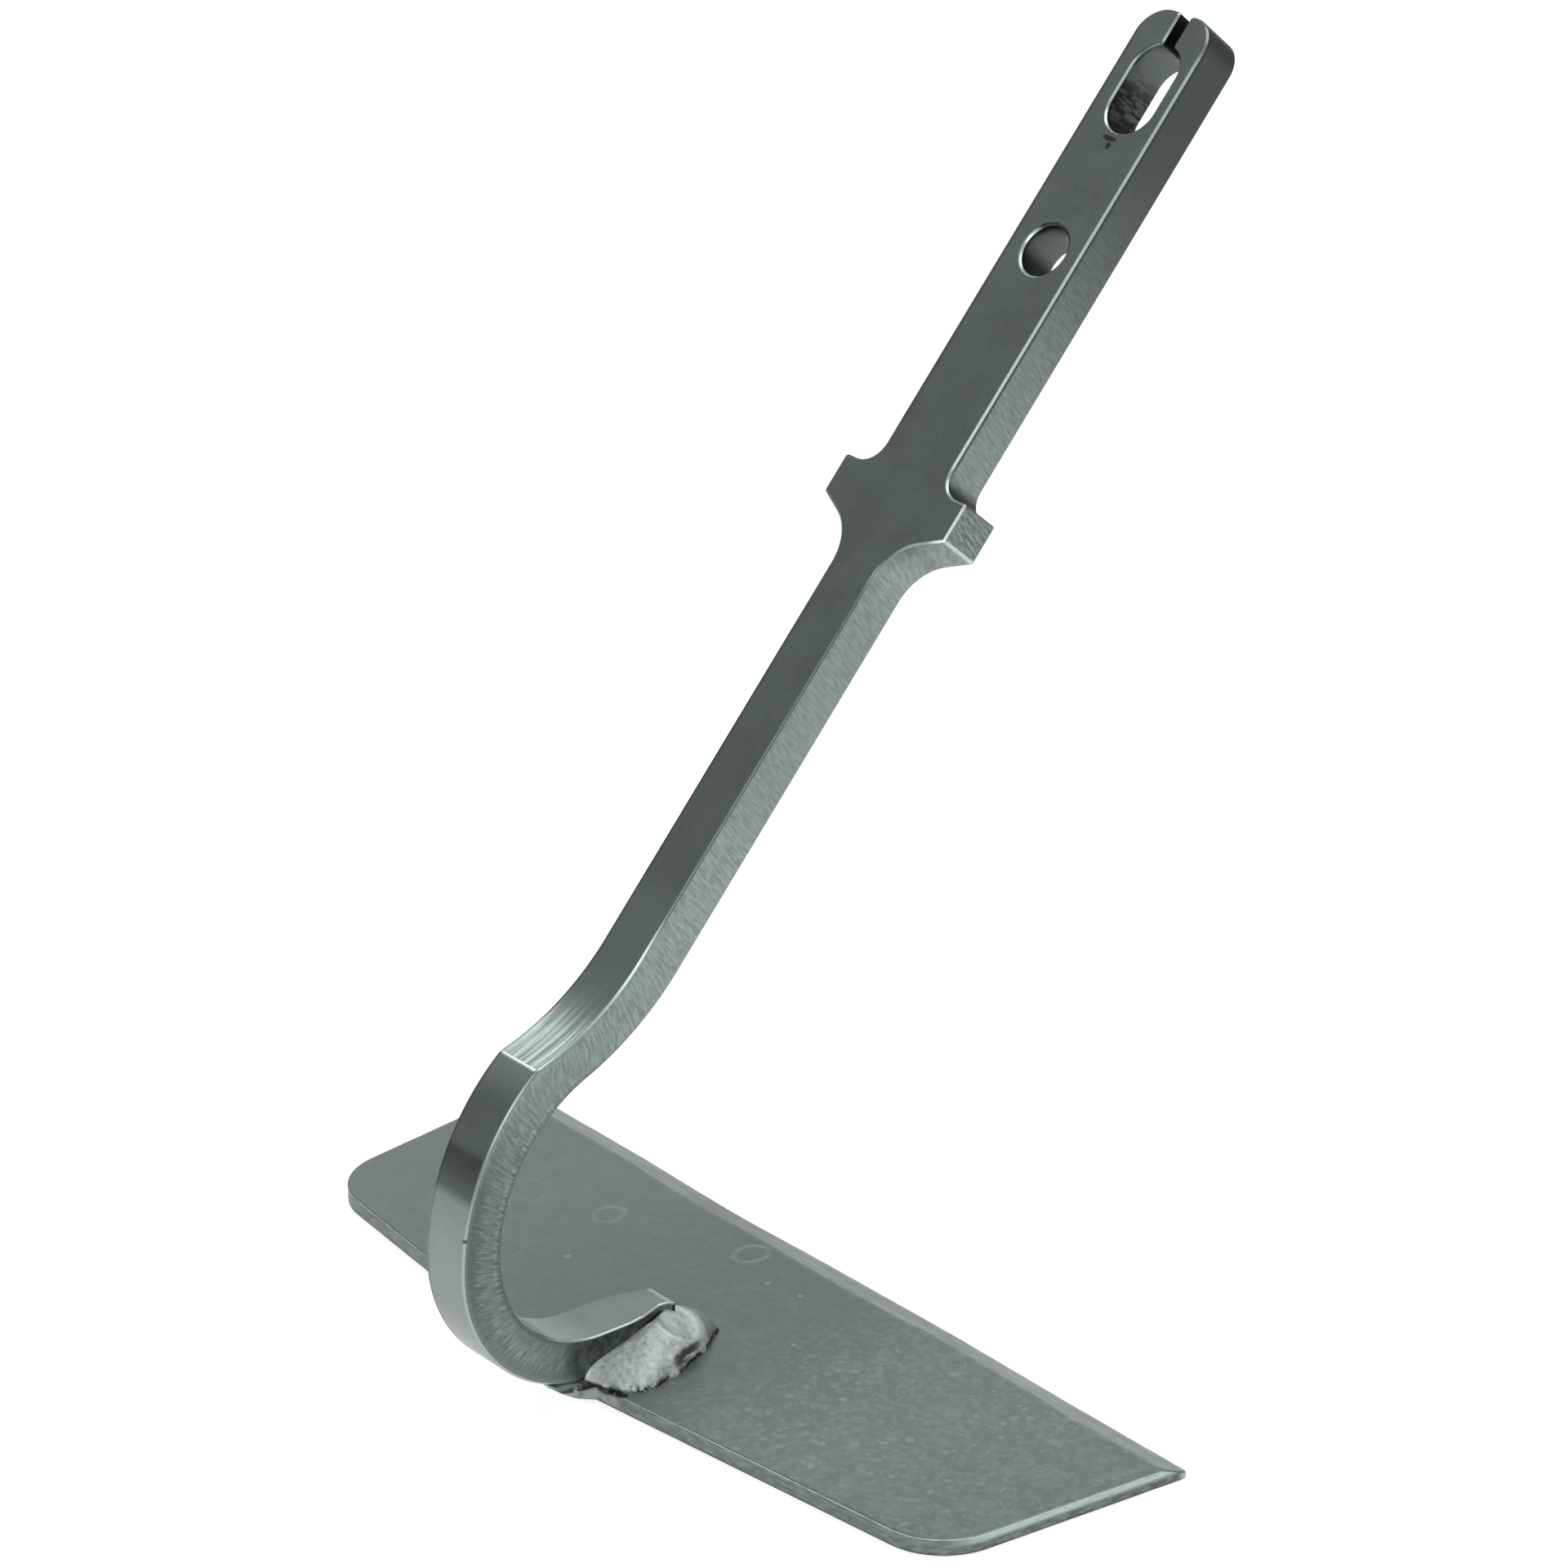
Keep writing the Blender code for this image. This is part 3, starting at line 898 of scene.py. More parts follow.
class Graph:
    """Small helper for one material's node tree."""

    def __init__(self, name, metallic):
        self.material = bpy.data.materials.new(name)
        self.material.use_nodes = True
        self.tree = self.material.node_tree
        self.shader = self.tree.nodes["Principled BSDF"]
        self.shader.inputs["Metallic"].default_value = metallic

    def node(self, kind, inputs=(), **settings):
        made = self.tree.nodes.new(kind)
        for key, value in settings.items():
            setattr(made, key, value)
        for key, value in dict(inputs).items():
            self.put(made.inputs[key], value)
        return made

    def put(self, socket, value):
        if isinstance(value, bpy.types.NodeSocket):
            self.tree.links.new(value, socket)
        else:
            socket.default_value = value

    def object_place(self):
        return self.node("ShaderNodeTexCoord").outputs["Object"]

    def sheet_place(self):
        return self.node("ShaderNodeAttribute", attribute_name="sheet").outputs["Vector"]

    def stretch(self, place, scale, shift=(0.0, 0.0, 0.0)):
        values = {"Vector": place, "Scale": scale, "Location": shift}
        return self.node("ShaderNodeMapping", values).outputs["Vector"]

    def noise(self, place, scale, detail=4.0, roughness=0.55, distortion=0.0):
        values = {"Vector": place, "Scale": scale, "Detail": detail}
        values.update({"Roughness": roughness, "Distortion": distortion})
        return self.node("ShaderNodeTexNoise", values).outputs["Fac"]

    def ramp(self, value, low, high, out_low=0.0, out_high=1.0):
        values = {"Value": value, "From Min": low, "From Max": high}
        values.update({"To Min": out_low, "To Max": out_high})
        made = self.node("ShaderNodeMapRange", values, interpolation_type="SMOOTHSTEP")
        return made.outputs["Result"]

    def math(self, operation, a, b=0.0):
        made = self.node("ShaderNodeMath", operation=operation)
        self.put(made.inputs[0], a)
        self.put(made.inputs[1], b)
        return made.outputs[0]

    def times(self, a, b):
        return self.math("MULTIPLY", a, b)

    def plus(self, a, b):
        return self.math("ADD", a, b)

    def minus(self, a, b):
        return self.math("SUBTRACT", a, b)

    def highest(self, a, b):
        return self.math("MAXIMUM", a, b)

    def fade(self, value, low, high, out_low=0.0, out_high=1.0):
        """A ramp between two lengths in millimetres."""
        return self.ramp(value, low * MM, high * MM, out_low, out_high)

    def band(self, value, middle, full, gone):
        """1 within full of the middle, 0 beyond gone."""
        away = self.math("ABSOLUTE", self.minus(value, middle))
        return self.ramp(away, full, gone, 1.0, 0.0)

    def strip(self, value, middle, full, gone):
        """A band whose half widths are in millimetres."""
        return self.band(value, middle, full * MM, gone * MM)

    def split(self, place):
        return self.node("ShaderNodeSeparateXYZ", {"Vector": place}).outputs

    def mix(self, factor, a, b):
        made = self.node("ShaderNodeMix", data_type="RGBA")
        for socket, value in zip((made.inputs[0], made.inputs[6], made.inputs[7]), (factor, a, b)):
            if isinstance(value, tuple):
                value = (*value, 1.0)
            self.put(socket, value)
        return made.outputs[2]

    def over(self, tone, level, *shares):
        """Lays a grey over a tone, as strongly as the product of the shares."""
        amount = shares[0]
        for share in shares[1:]:
            amount = self.times(amount, share)
        return self.mix(amount, tone, shade(level))

    def bump(self, height, strength, distance, normal=None):
        values = {"Height": height, "Strength": strength, "Distance": distance}
        if normal is not None:
            values["Normal"] = normal
        return self.node("ShaderNodeBump", values).outputs["Normal"]

    def near(self, place, centre, radius, flatten=(1.0, 1.0, 1.0)):
        """0 at a centre, 1 at the radius and beyond."""
        shift = tuple(-c * f for c, f in zip(centre, flatten))
        moved = self.stretch(place, flatten, shift)
        length = self.node("ShaderNodeVectorMath", {0: moved}, operation="LENGTH")
        return self.math("DIVIDE", length.outputs["Value"], radius)

    def finish(self, colour, roughness, normal):
        self.put(self.shader.inputs["Base Color"], colour)
        self.put(self.shader.inputs["Roughness"], roughness)
        self.put(self.shader.inputs["Normal"], normal)
        return self.material


def shade(level):
    """Grey with the steel's cool green tint."""
    return (level * 0.86, level * 1.03, level * 0.955)


def bare(level):
    """Grey of bare weld metal, less green than the plates."""
    return (level * 0.92, level * 1.02, level * 0.98)


def rolled_face(g, sheet, place, across, along):
    """Front and back faces: dark mill scale, drawn streaks under a painted highlight in the hollow, a
    painted shadow band and a painted highlight by the crease, painted shade along the left edges, darker to
    the heel.
    """
    broad = g.noise(place, 110.0, 4.0, 0.6)
    grain = g.noise(place, 1500.0, 3.0, 0.65)
    tone = g.mix(g.ramp(broad, 0.3, 0.7), shade(0.255), shade(0.290))
    tone = g.over(tone, 0.36, g.ramp(grain, 0.3, 0.8, 0.0, 0.40))
    streaks = g.noise(g.stretch(sheet, (1150.0, 38.0, 60.0)), 1.0, 3.0, 0.7)
    # Painted highlight in the hollow: the drawn streaks are painted bright there, with a ragged end past
    # the crease.
    fade = g.ramp(along, crease(5.0), crease(22.0), 1.0, 0.0)
    ragged = g.plus(along, g.times(streaks, 6.0 * MM))
    ragged = g.ramp(ragged, crease(13.5), crease(16.0), 1.0, 0.30)
    hollow = g.times(g.ramp(along, crease(-0.2), CREASE_AT), g.times(fade, ragged))
    beyond = g.strip(along, crease(22.0), 8.0, 14.0)
    tone = g.over(tone, 0.37, beyond, 0.8)
    streaked_highlight = g.mix(g.ramp(streaks, 0.38, 0.62), shade(0.20), shade(0.51))
    tone = g.mix(g.times(hollow, 0.95), tone, streaked_highlight)
    # Lighter just below the crease.
    lighter_below_crease = g.ramp(along, crease(-8.0), crease(-0.5), 0.0, 0.65)
    lighter_below_crease = g.times(lighter_below_crease, g.ramp(along, crease(-0.2), CREASE_AT, 1.0, 0.0))
    tone = g.over(tone, 0.60, lighter_below_crease)
    # Painted shadow band across the crown.
    shadow = g.strip(along, crease(-18.2), 2.4, 4.6)
    tone = g.over(tone, 0.06, shadow, 0.66)
    # Painted highlight along the crease.
    tone = g.over(tone, 0.80, g.strip(along, CREASE_AT, 0.14, 0.36))
    # Painted shade: dark lines along the left edges of the neck and the tang.
    wear_and_edge_shade = g.ramp(across, -NECK_HALF + 0.45 * MM, -NECK_HALF + 1.05 * MM, 0.55, 0.0)
    wear_and_edge_shade = g.times(wear_and_edge_shade, g.ramp(along, face_at(150.0), face_at(158.0), 1.0, 0.0))
    high = g.ramp(across, -TANG_HALF + 0.45 * MM, -TANG_HALF + 1.15 * MM, 0.60, 0.0)
    high = g.times(high, g.ramp(along, face_at(182.0), face_at(188.0)))
    tone = g.over(tone, 0.07, g.highest(wear_and_edge_shade, high))
    tone = g.over(tone, 0.17, g.ramp(along, face_at(226.0), face_at(250.0), 0.0, 0.35))
    tone = g.over(tone, 0.05, g.ramp(along, crease(-24.0), crease(-20.5), 0.15, 0.0))
    # Darker towards the heel.
    heel = g.fade(along, 22.0, 52.0, 0.10, 1.0)
    return g.mix(heel, shade(0.10), tone), streaks, hollow, broad, grain


def cut_edge(g, sheet, across, along, depth):
    """Cut edges: fine striations leaning a little across the plate, darker to the tang's tip, with a
    painted glint on the burr, painted shade in the ear's fillet and a painted highlight on the ear's
    corner.
    """
    grain = g.node("ShaderNodeAttribute", attribute_name="grain").outputs["Fac"]
    slant = g.plus(grain, g.times(depth, SLANT))
    slanted = g.node("ShaderNodeCombineXYZ", {"Y": slant, "Z": depth}).outputs["Vector"]
    cuts = g.noise(g.stretch(slanted, (1.0, 2000.0, 400.0)), 1.0, 3.0, 0.6)
    mottle = g.noise(g.stretch(slanted, (1.0, 2600.0, 1300.0), (0.0, 3.0, 0.0)), 1.0, 3.0, 0.7)
    tone = g.mix(g.ramp(cuts, 0.36, 0.64), shade(0.225), shade(0.350))
    tone = g.over(tone, 0.17, g.ramp(mottle, 0.30, 0.46, 0.55, 0.0))
    patch = g.noise(g.stretch(slanted, (1.0, 160.0, 260.0), (0.0, 7.0, 0.0)), 1.0, 3.0, 0.6)
    tone = g.over(tone, 0.32, g.ramp(patch, 0.40, 0.62, 0.0, 0.30))
    below = g.ramp(along, crease(-26.0), crease(-4.0), 1.0, 0.0)
    teeth = g.plus(g.times(depth, 1.0 / MM), g.times(cuts, 6.0))
    outer = g.times(below, g.ramp(teeth, 4.6, 7.6, 1.0, 0.0))
    tone = g.over(tone, 0.15, outer, 0.72)
    # Painted glint: bright dashes on the ragged burr along the inner edge.
    burr_glint = g.times(g.strip(depth, 7.0 * MM, 0.35, 0.9), g.ramp(cuts, 0.46, 0.56))
    burr_glint = g.times(burr_glint, g.strip(along, crease(-22.0), 14.0, 24.0))
    tone = g.over(tone, 0.45, burr_glint, 0.7)
    middle = g.strip(along, face_at(142.0), 15.0, 28.0)
    tone = g.over(tone, 0.19, middle, 0.35)
    tone = g.over(tone, 0.048, g.ramp(along, face_at(184.0), face_at(246.0)))
    above = g.ramp(along, face_at(180.0), face_at(184.0))
    tone = g.over(tone, 0.12, above, 0.30)
    rim = g.times(above, g.fade(depth, 0.55, 1.10, 0.90, 0.0))
    tone = g.over(tone, 0.03, rim)
    flat = g.strip(along, face_at(175.5), 3.2, 3.6)
    flat = g.times(flat, g.fade(across, 12.0, 13.0))
    tone = g.over(tone, 0.08, flat, g.ramp(cuts, 0.35, 0.65, 0.60, 0.20))
    under_ear = g.strip(along, up_face(EAR_LOW - 4.5 * MM), 1.0, 4.5)
    under_ear = g.times(under_ear, g.fade(depth, 0.6, 4.0, 0.5, 0.0))
    tone = g.over(tone, 0.16, under_ear)
    # Painted shade in the fillet corner above the ear.
    corner = (TANG_HALF + 2.6 * MM, up_face(EAR_TOP + 0.6 * MM), 0.0)
    fillet_shade = g.ramp(g.near(sheet, corner, 3.2 * MM, (1.0, 1.0, 0.0)), 0.4, 1.0, 0.85, 0.0)
    tone = g.over(tone, 0.035, fillet_shade)
    # Painted highlight on the ear's lower corner.
    ear = (EAR_HALF, up_face(EAR_LOW), 0.0)
    line = g.ramp(g.near(sheet, ear, 0.42 * MM, (1.0, 1.0, 0.0)), 0.75, 1.15, 0.9, 0.0)
    return g.mix(line, tone, shade(0.62)), cuts, mottle


def bored_wall(g, tone, sheet, across, along, depth):
    """Walls of the round hole and the slot, with painted shade: darkest low down, a painted shadow under
    the hole's brow, black in the slit.
    """
    slot_centre = (SLOT_X, face_at(248.4), 4.0 * MM)
    slot = g.ramp(g.near(sheet, slot_centre, 5.6 * MM, (1.0, 0.60, 0.25)), 0.97, 1.03, 1.0, 0.0)
    slit_wall = g.ramp(along, face_at(255.6), face_at(256.2))
    slit_wall = g.times(slit_wall, g.strip(across, 0.3 * MM, 1.5, 1.9))
    slot = g.highest(slot, slit_wall)
    hole_centre = (HOLE_X, up_face(HOLE_AT), 4.0 * MM)
    hole = g.ramp(g.near(sheet, hole_centre, 5.2 * MM, (1.0, 1.0, 0.25)), 0.97, 1.03, 1.0, 0.0)
    rise = g.minus(along, up_face(HOLE_AT))
    grooves = g.noise(g.stretch(sheet, (260.0, 1100.0, 260.0)), 1.0, 3.0, 0.7)
    # Painted shade in the hole: darkest low down, with a painted shadow under its brow near the front.
    hole_wall_shade = g.mix(g.fade(rise, -2.6, 1.4), shade(0.018), shade(0.120))
    brow_shadow = g.times(g.fade(rise, 1.2, 3.0), g.fade(depth, 0.9, 2.1, 1.0, 0.0))
    hole_wall_shade = g.over(hole_wall_shade, 0.025, brow_shadow)
    # Painted shade in the slot: lighter towards its top, black in the slit.
    slot_wall_shade = g.mix(g.ramp(grooves, 0.42, 0.62), shade(0.006), shade(0.075))
    high = g.ramp(along, face_at(247.0), face_at(253.0), 0.0, 0.85)
    slot_wall_shade = g.over(slot_wall_shade, 0.135, high)
    slit = g.ramp(along, face_at(256.1), face_at(256.5))
    slot_wall_shade = g.over(slot_wall_shade, 0.006, slit)
    tone = g.mix(hole, tone, hole_wall_shade)
    return g.mix(slot, tone, slot_wall_shade), hole, slot


def outline_rim(g, across, along):
    """Front corner round the plate's outline: a painted highlight on the right only, painted shade on the
    left.
    """
    tang = g.ramp(along, face_at(166.0), face_at(171.0), 0.0, 1.0)
    plain = g.strip(along, face_at(132.0), 26.0, 36.0)
    # Painted highlight on the right corner: strongest on the tang and in the hollow, dimmed on the plain
    # neck, near the tip and under the ear.
    bright = g.mix(tang, shade(0.38), shade(0.86))
    bright = g.over(bright, 0.13, plain, 0.85)
    hollow = g.ramp(along, crease(-0.4), crease(0.4))
    hollow = g.times(hollow, g.ramp(along, crease(16.0), crease(30.0), 1.0, 0.0))
    bright = g.over(bright, 1.0, hollow)
    tip = g.ramp(along, up_face(TIP - 8.0 * MM), up_face(TIP - 3.5 * MM))
    bright = g.over(bright, 0.40, tip)
    concave = g.strip(along, up_face(EAR_LOW - 5.0 * MM), 3.6, 5.0)
    bright = g.over(bright, 0.16, concave, 0.75)
    # Painted shade on the left corner.
    right = g.fade(across, 0.0, 0.8)
    return g.mix(right, shade(0.055), bright)


def opening_rims(g, across, along):
    """Front corners of the round hole and of the slot: a painted highlight low on the left, dark elsewhere.
    """
    fall = g.minus(up_face(HOLE_AT), along)
    toward = g.plus(g.times(g.minus(HOLE_X, across), 0.8), g.times(fall, 0.6))
    hole_rim = g.mix(g.fade(toward, 0.2, 2.2), shade(0.05), shade(0.98))
    fall = g.minus(up_face(SLOT_LOW) + SLOT_R, along)
    fall = g.highest(fall, 0.0)
    toward = g.plus(g.times(g.minus(SLOT_X, across), 0.9), g.times(fall, 0.8))
    slot_rim = g.mix(g.fade(toward, 0.6, 2.4), shade(0.09), shade(0.98))
    top = g.strip(along, face_at(254.4), 1.4, 3.4)
    slot_rim = g.over(slot_rim, 0.17, top, 0.95)
    # Painted highlight on the slit's left edge.
    slit_edge = g.ramp(along, face_at(256.2), face_at(256.8))
    slit_edge = g.times(slit_edge, g.ramp(across, -0.2 * MM, 0.0, 1.0, 0.0))
    return hole_rim, g.mix(slit_edge, slot_rim, shade(0.66))


def corner_tone(g, tone, across, along, depth, hole, slot):
    """Corners between the plate's faces and its walls, with painted highlights and painted shade, and the
    foot's end.
    """
    hole_rim, slot_rim = opening_rims(g, across, along)
    rim = g.mix(slot, g.mix(hole, outline_rim(g, across, along), hole_rim), slot_rim)
    front = g.fade(depth, 0.02, 0.04)
    front = g.times(front, g.fade(depth, 0.34, 0.46, 1.0, 0.0))
    tone = g.mix(front, tone, rim)
    back = g.fade(depth, 7.66, 7.74)
    back = g.times(back, g.fade(depth, 7.965, 7.985, 1.0, 0.0))
    # Painted highlight on the foot's near edge and its end.
    foot = g.times(g.fade(along, 25.0, 30.0, 1.0, 0.0), g.fade(across, 1.0, 2.0))
    lower = g.ramp(along, crease(-8.0), crease(4.0), 0.85, 0.0)
    foot = g.highest(foot, g.fade(along, 0.35, 0.6, 1.0, 0.0))
    edge = g.mix(foot, g.mix(lower, shade(0.07), shade(0.26)), shade(0.80))
    edge = g.over(edge, 0.60, g.ramp(along, up_face(TIP - 7.0 * MM), up_face(TIP - 4.0 * MM)))
    tone = g.mix(back, tone, edge)
    butt = g.fade(along, 0.35, 0.60, 0.9, 0.0)
    butt = g.times(butt, g.fade(depth, 7.2, 7.5, 1.0, 0.0))
    tone = g.over(tone, 0.04, butt)
    # Painted highlight along the foot's end edge.
    end = g.times(g.fade(along, 0.75, 1.15, 0.8, 0.0), g.fade(depth, 7.9, 7.97))
    return g.over(tone, 0.62, end)


def scars(g, tone, sheet, place, grain, side):
    """Heat-darkened steel with painted shade beside the weld, the mark under the slot and a nick on the
    corner.
    """
    # Heat tint and painted shade on the foot's side by the weld, darkest towards the foot's nose.
    burnt_and_shaded_at = g.near(place, (5.0 * MM, -21.5 * MM, 6.5 * MM), 11.0 * MM, (1.0, 1.0, 1.25))
    soot_and_shade = g.mix(g.ramp(g.noise(place, 520.0, 3.0, 0.65), 0.38, 0.62), shade(0.075), shade(0.16))
    soot_and_shade = g.over(soot_and_shade, 0.05, g.fade(g.split(place)[1], -19.0, -15.0))
    tone = g.mix(g.times(g.ramp(burnt_and_shaded_at, 0.70, 1.05, 0.95, 0.0), side), tone, soot_and_shade)
    stroke = g.near(sheet, (0.1 * MM, face_at(239.3), 0.0), 1.0 * MM, (0.55, 2.0, 1.0))
    drop = g.near(sheet, (0.55 * MM, face_at(238.1), 0.0), 1.0 * MM, (1.9, 1.5, 1.0))
    ragged = g.ramp(g.noise(place, 900.0, 3.0, 0.7), 0.3, 0.7, 0.0, 0.7)
    mark = g.plus(g.math("MINIMUM", stroke, drop), g.times(ragged, 0.6))
    nick = g.near(place, (4.7 * MM, -49.2 * MM, 35.0 * MM), 0.42 * MM, (0.6, 0.6, 1.0))
    nick = g.plus(nick, g.times(grain, 0.5))
    tone = g.over(tone, 0.04, g.ramp(mark, 0.85, 1.35, 0.85, 0.0))
    return g.over(tone, 0.05, g.ramp(nick, 0.85, 1.35, 0.85, 0.0))


def shank_steel():
    """Dark rolled faces, cross-cut edges, corners with painted highlights, a darker heel and burnt steel
    with painted shade beside the weld.
    """
    g = Graph("shank_steel_look", 0.9)
    place = g.object_place()
    sheet = g.sheet_place()
    across, along, depth = g.split(sheet)[:3]
    inner = g.fade(depth, 0.34, 0.46)
    side = g.times(inner, g.fade(depth, 7.60, 7.72, 1.0, 0.0))
    face, streaks, hollow, broad, grain = rolled_face(g, sheet, place, across, along)
    rear = g.fade(depth, 7.9, 7.97)
    foot_top = g.times(rear, g.fade(along, 26.0, 40.0, 1.0, 0.0))
    face = g.mix(foot_top, face, g.mix(g.ramp(broad, 0.35, 0.65), shade(0.30), shade(0.355)))
    cut, cuts, mottle = cut_edge(g, sheet, across, along, depth)
    cut, hole, slot = bored_wall(g, cut, sheet, across, along, depth)
    tone = g.mix(side, face, cut)
    tone = corner_tone(g, tone, across, along, depth, hole, slot)
    tone = scars(g, tone, sheet, place, grain, side)
    rough = g.mix(side, (0.29, 0.29, 0.29), (0.40, 0.40, 0.40))
    rough = g.plus(rough, g.ramp(broad, 0.2, 0.8, -0.03, 0.04))
    relief = g.times(g.plus(cuts, g.times(mottle, 0.6)), side)
    relief = g.plus(relief, g.times(streaks, hollow))
    normal = g.bump(relief, 0.30, 0.035 * MM)
    normal = g.bump(grain, 0.15, 0.02 * MM, normal)
    return g.finish(tone, rough, normal)


# Marks on the blade's top, millimetres: rings (x, y, radius, strength) and dots (x, y, radius).
RINGS = (
    (-36.3, 8.1, 2.3, 0.42),
    (-11.1, 17.4, 2.5, 0.46),
    (2.4, 4.0, 7.5, 0.10),
    (30.0, 1.0, 6.0, 0.12),
    (-52.0, 2.0, 4.2, 0.12),
)
DOTS = (
    (-2.0, 13.3, 0.6),
    (4.6, 14.5, 0.55),
    (-29.5, -5.3, 0.7),
    (-68.9, 19.0, 0.6),
    (16.0, 4.0, 0.5),
)

# How far the marks' outlines are pulled about.
WARP = 1.9 * MM


def water_marks(g, place, mottle):
    """Dried water rings and specks, denser on the right half."""
    shake = g.node("ShaderNodeTexNoise", {"Vector": place, "Scale": 210.0, "Detail": 2.0})
    amount = g.node("ShaderNodeVectorMath", operation="SCALE")
    g.put(amount.inputs[0], shake.outputs["Color"])
    g.put(amount.inputs["Scale"], WARP)
    warped = g.node("ShaderNodeVectorMath", operation="ADD")
    g.put(warped.inputs[0], place)
    g.put(warped.inputs[1], amount.outputs[0])
    loose = warped.outputs[0]
    x = g.split(place)[0]
    right = g.fade(x, 6.0, 40.0, 0.12, 1.0)
    broken = g.ramp(mottle, 0.35, 0.6, 0.35, 1.0)
    marks = 0.0
    for cx, cy, radius, strength in RINGS:
        centre = (cx * MM + WARP / 2.0, cy * MM + WARP / 2.0, 3.9 * MM)
        away = g.near(loose, centre, radius * MM, (1.0, 0.85, 1.0))
        ring = g.band(away, 1.0, 0.05, 0.30 if radius < 3.0 else 0.14)
        marks = g.highest(marks, g.times(g.times(ring, broken), strength))
    for cx, cy, radius in DOTS:
        away = g.near(place, (cx * MM, cy * MM, 3.0 * MM), radius * MM)
        marks = g.highest(marks, g.ramp(away, 0.6, 1.1, 0.6, 0.0))
    for scale, size, strength in ((120.0, 0.42, 0.24), (300.0, 0.36, 0.26)):
        values = {"Vector": loose, "Scale": scale}
        cell = g.node("ShaderNodeTexVoronoi", values)
        own = g.split(cell.outputs["Color"])[0]
        radius = g.ramp(own, 0.0, 1.0, size * 0.5, size * 1.3)
        away = g.minus(cell.outputs["Distance"], radius)
        ring = g.times(g.band(away, 0.0, 0.03, 0.11), g.times(right, broken))
        marks = g.highest(marks, g.times(ring, strength))
    drops = g.node("ShaderNodeTexVoronoi", {"Vector": loose, "Scale": 560.0})
    own = g.split(drops.outputs["Color"])[1]
    size = g.ramp(own, 0.25, 1.0, 0.02, 0.40)
    spot = g.ramp(g.minus(drops.outputs["Distance"], size), -0.10, 0.06, 1.0, 0.0)
    spread = g.ramp(g.noise(place, 60.0, 3.0), 0.36, 0.58, 0.15, 1.0)
    spot = g.times(g.times(spot, right), spread)
    return g.highest(marks, g.times(spot, 0.62))


def blade_edges(g, tone, place, x, y, z):
    """Ground bevel in front, sheared sides, torn rear edges with a painted highlight on their lip."""
    low = g.ramp(z, BLADE_TOP - 0.22 * MM, BLADE_TOP - 0.12 * MM, 1.0, 0.0)
    fore = g.ramp(y, EDGE_Y - 8.6 * MM, EDGE_Y - 7.4 * MM)
    grind = g.noise(g.stretch(place, (70.0, 900.0, 900.0)), 1.0, 4.0, 0.6)
    blotch = g.noise(place, 190.0, 4.0, 0.65)
    ground = g.mix(g.ramp(grind, 0.3, 0.7), shade(0.33), shade(0.42))
    ground = g.over(ground, 0.29, g.ramp(blotch, 0.42, 0.66, 0.0, 0.6))
    bright = g.times(g.fade(z, 0.75, 1.15, 0.6, 0.0), g.ramp(blotch, 0.3, 0.6, 1.0, 0.3))
    ground = g.over(ground, 0.60, bright)
    dent = g.strip(x, -22.0 * MM, 4.0, 16.0)
    ground = g.over(ground, 0.24, dent, 0.75)
    tone = g.mix(g.times(low, fore), tone, ground)
    torn = g.noise(g.stretch(place, (420.0, 420.0, 1600.0)), 1.0, 4.0, 0.65)
    rear = g.fade(y, -16.0, -10.0, 1.0, 0.0)
    side_tone = g.mix(g.fade(z, 1.2, 2.1), shade(0.12), shade(0.50))
    edge_tone = g.over(side_tone, 0.155, rear)
    edge_tone = g.over(edge_tone, 0.30, g.ramp(torn, 0.42, 0.62, 0.0, 0.5))
    edge_tone = g.over(edge_tone, 0.05, g.fade(z, 0.15, 0.45, 0.85, 0.0))
    behind = g.minus(1.0, fore)
    flank = g.ramp(x, EDGE_HALF - 5.0 * MM, EDGE_HALF - 3.2 * MM)
    flank = g.times(flank, g.ramp(y, EDGE_Y - 2.2 * MM, EDGE_Y - 1.2 * MM, 1.0, 0.0))
    steep = g.node("ShaderNodeNewGeometry").outputs["True Normal"]
    steep = g.ramp(g.split(steep)[0], 0.6, 0.9)
    behind = g.highest(behind, g.times(flank, steep))
    tone = g.mix(g.times(low, behind), tone, edge_tone)
    # Painted highlight along the top lip of the edges, brighter to the right, broken by chips.
    lip = g.times(g.ramp(z, BLADE_TOP - 0.40 * MM, BLADE_TOP - 0.30 * MM), low)
    chipped = g.ramp(torn, 0.30, 0.50, 0.45, 1.0)
    lip_highlight = g.mix(g.fade(x, 14.0, 34.0), shade(0.42), shade(0.62))
    tone = g.mix(g.times(g.times(lip, behind), chipped), tone, lip_highlight)
    return tone, low, grind


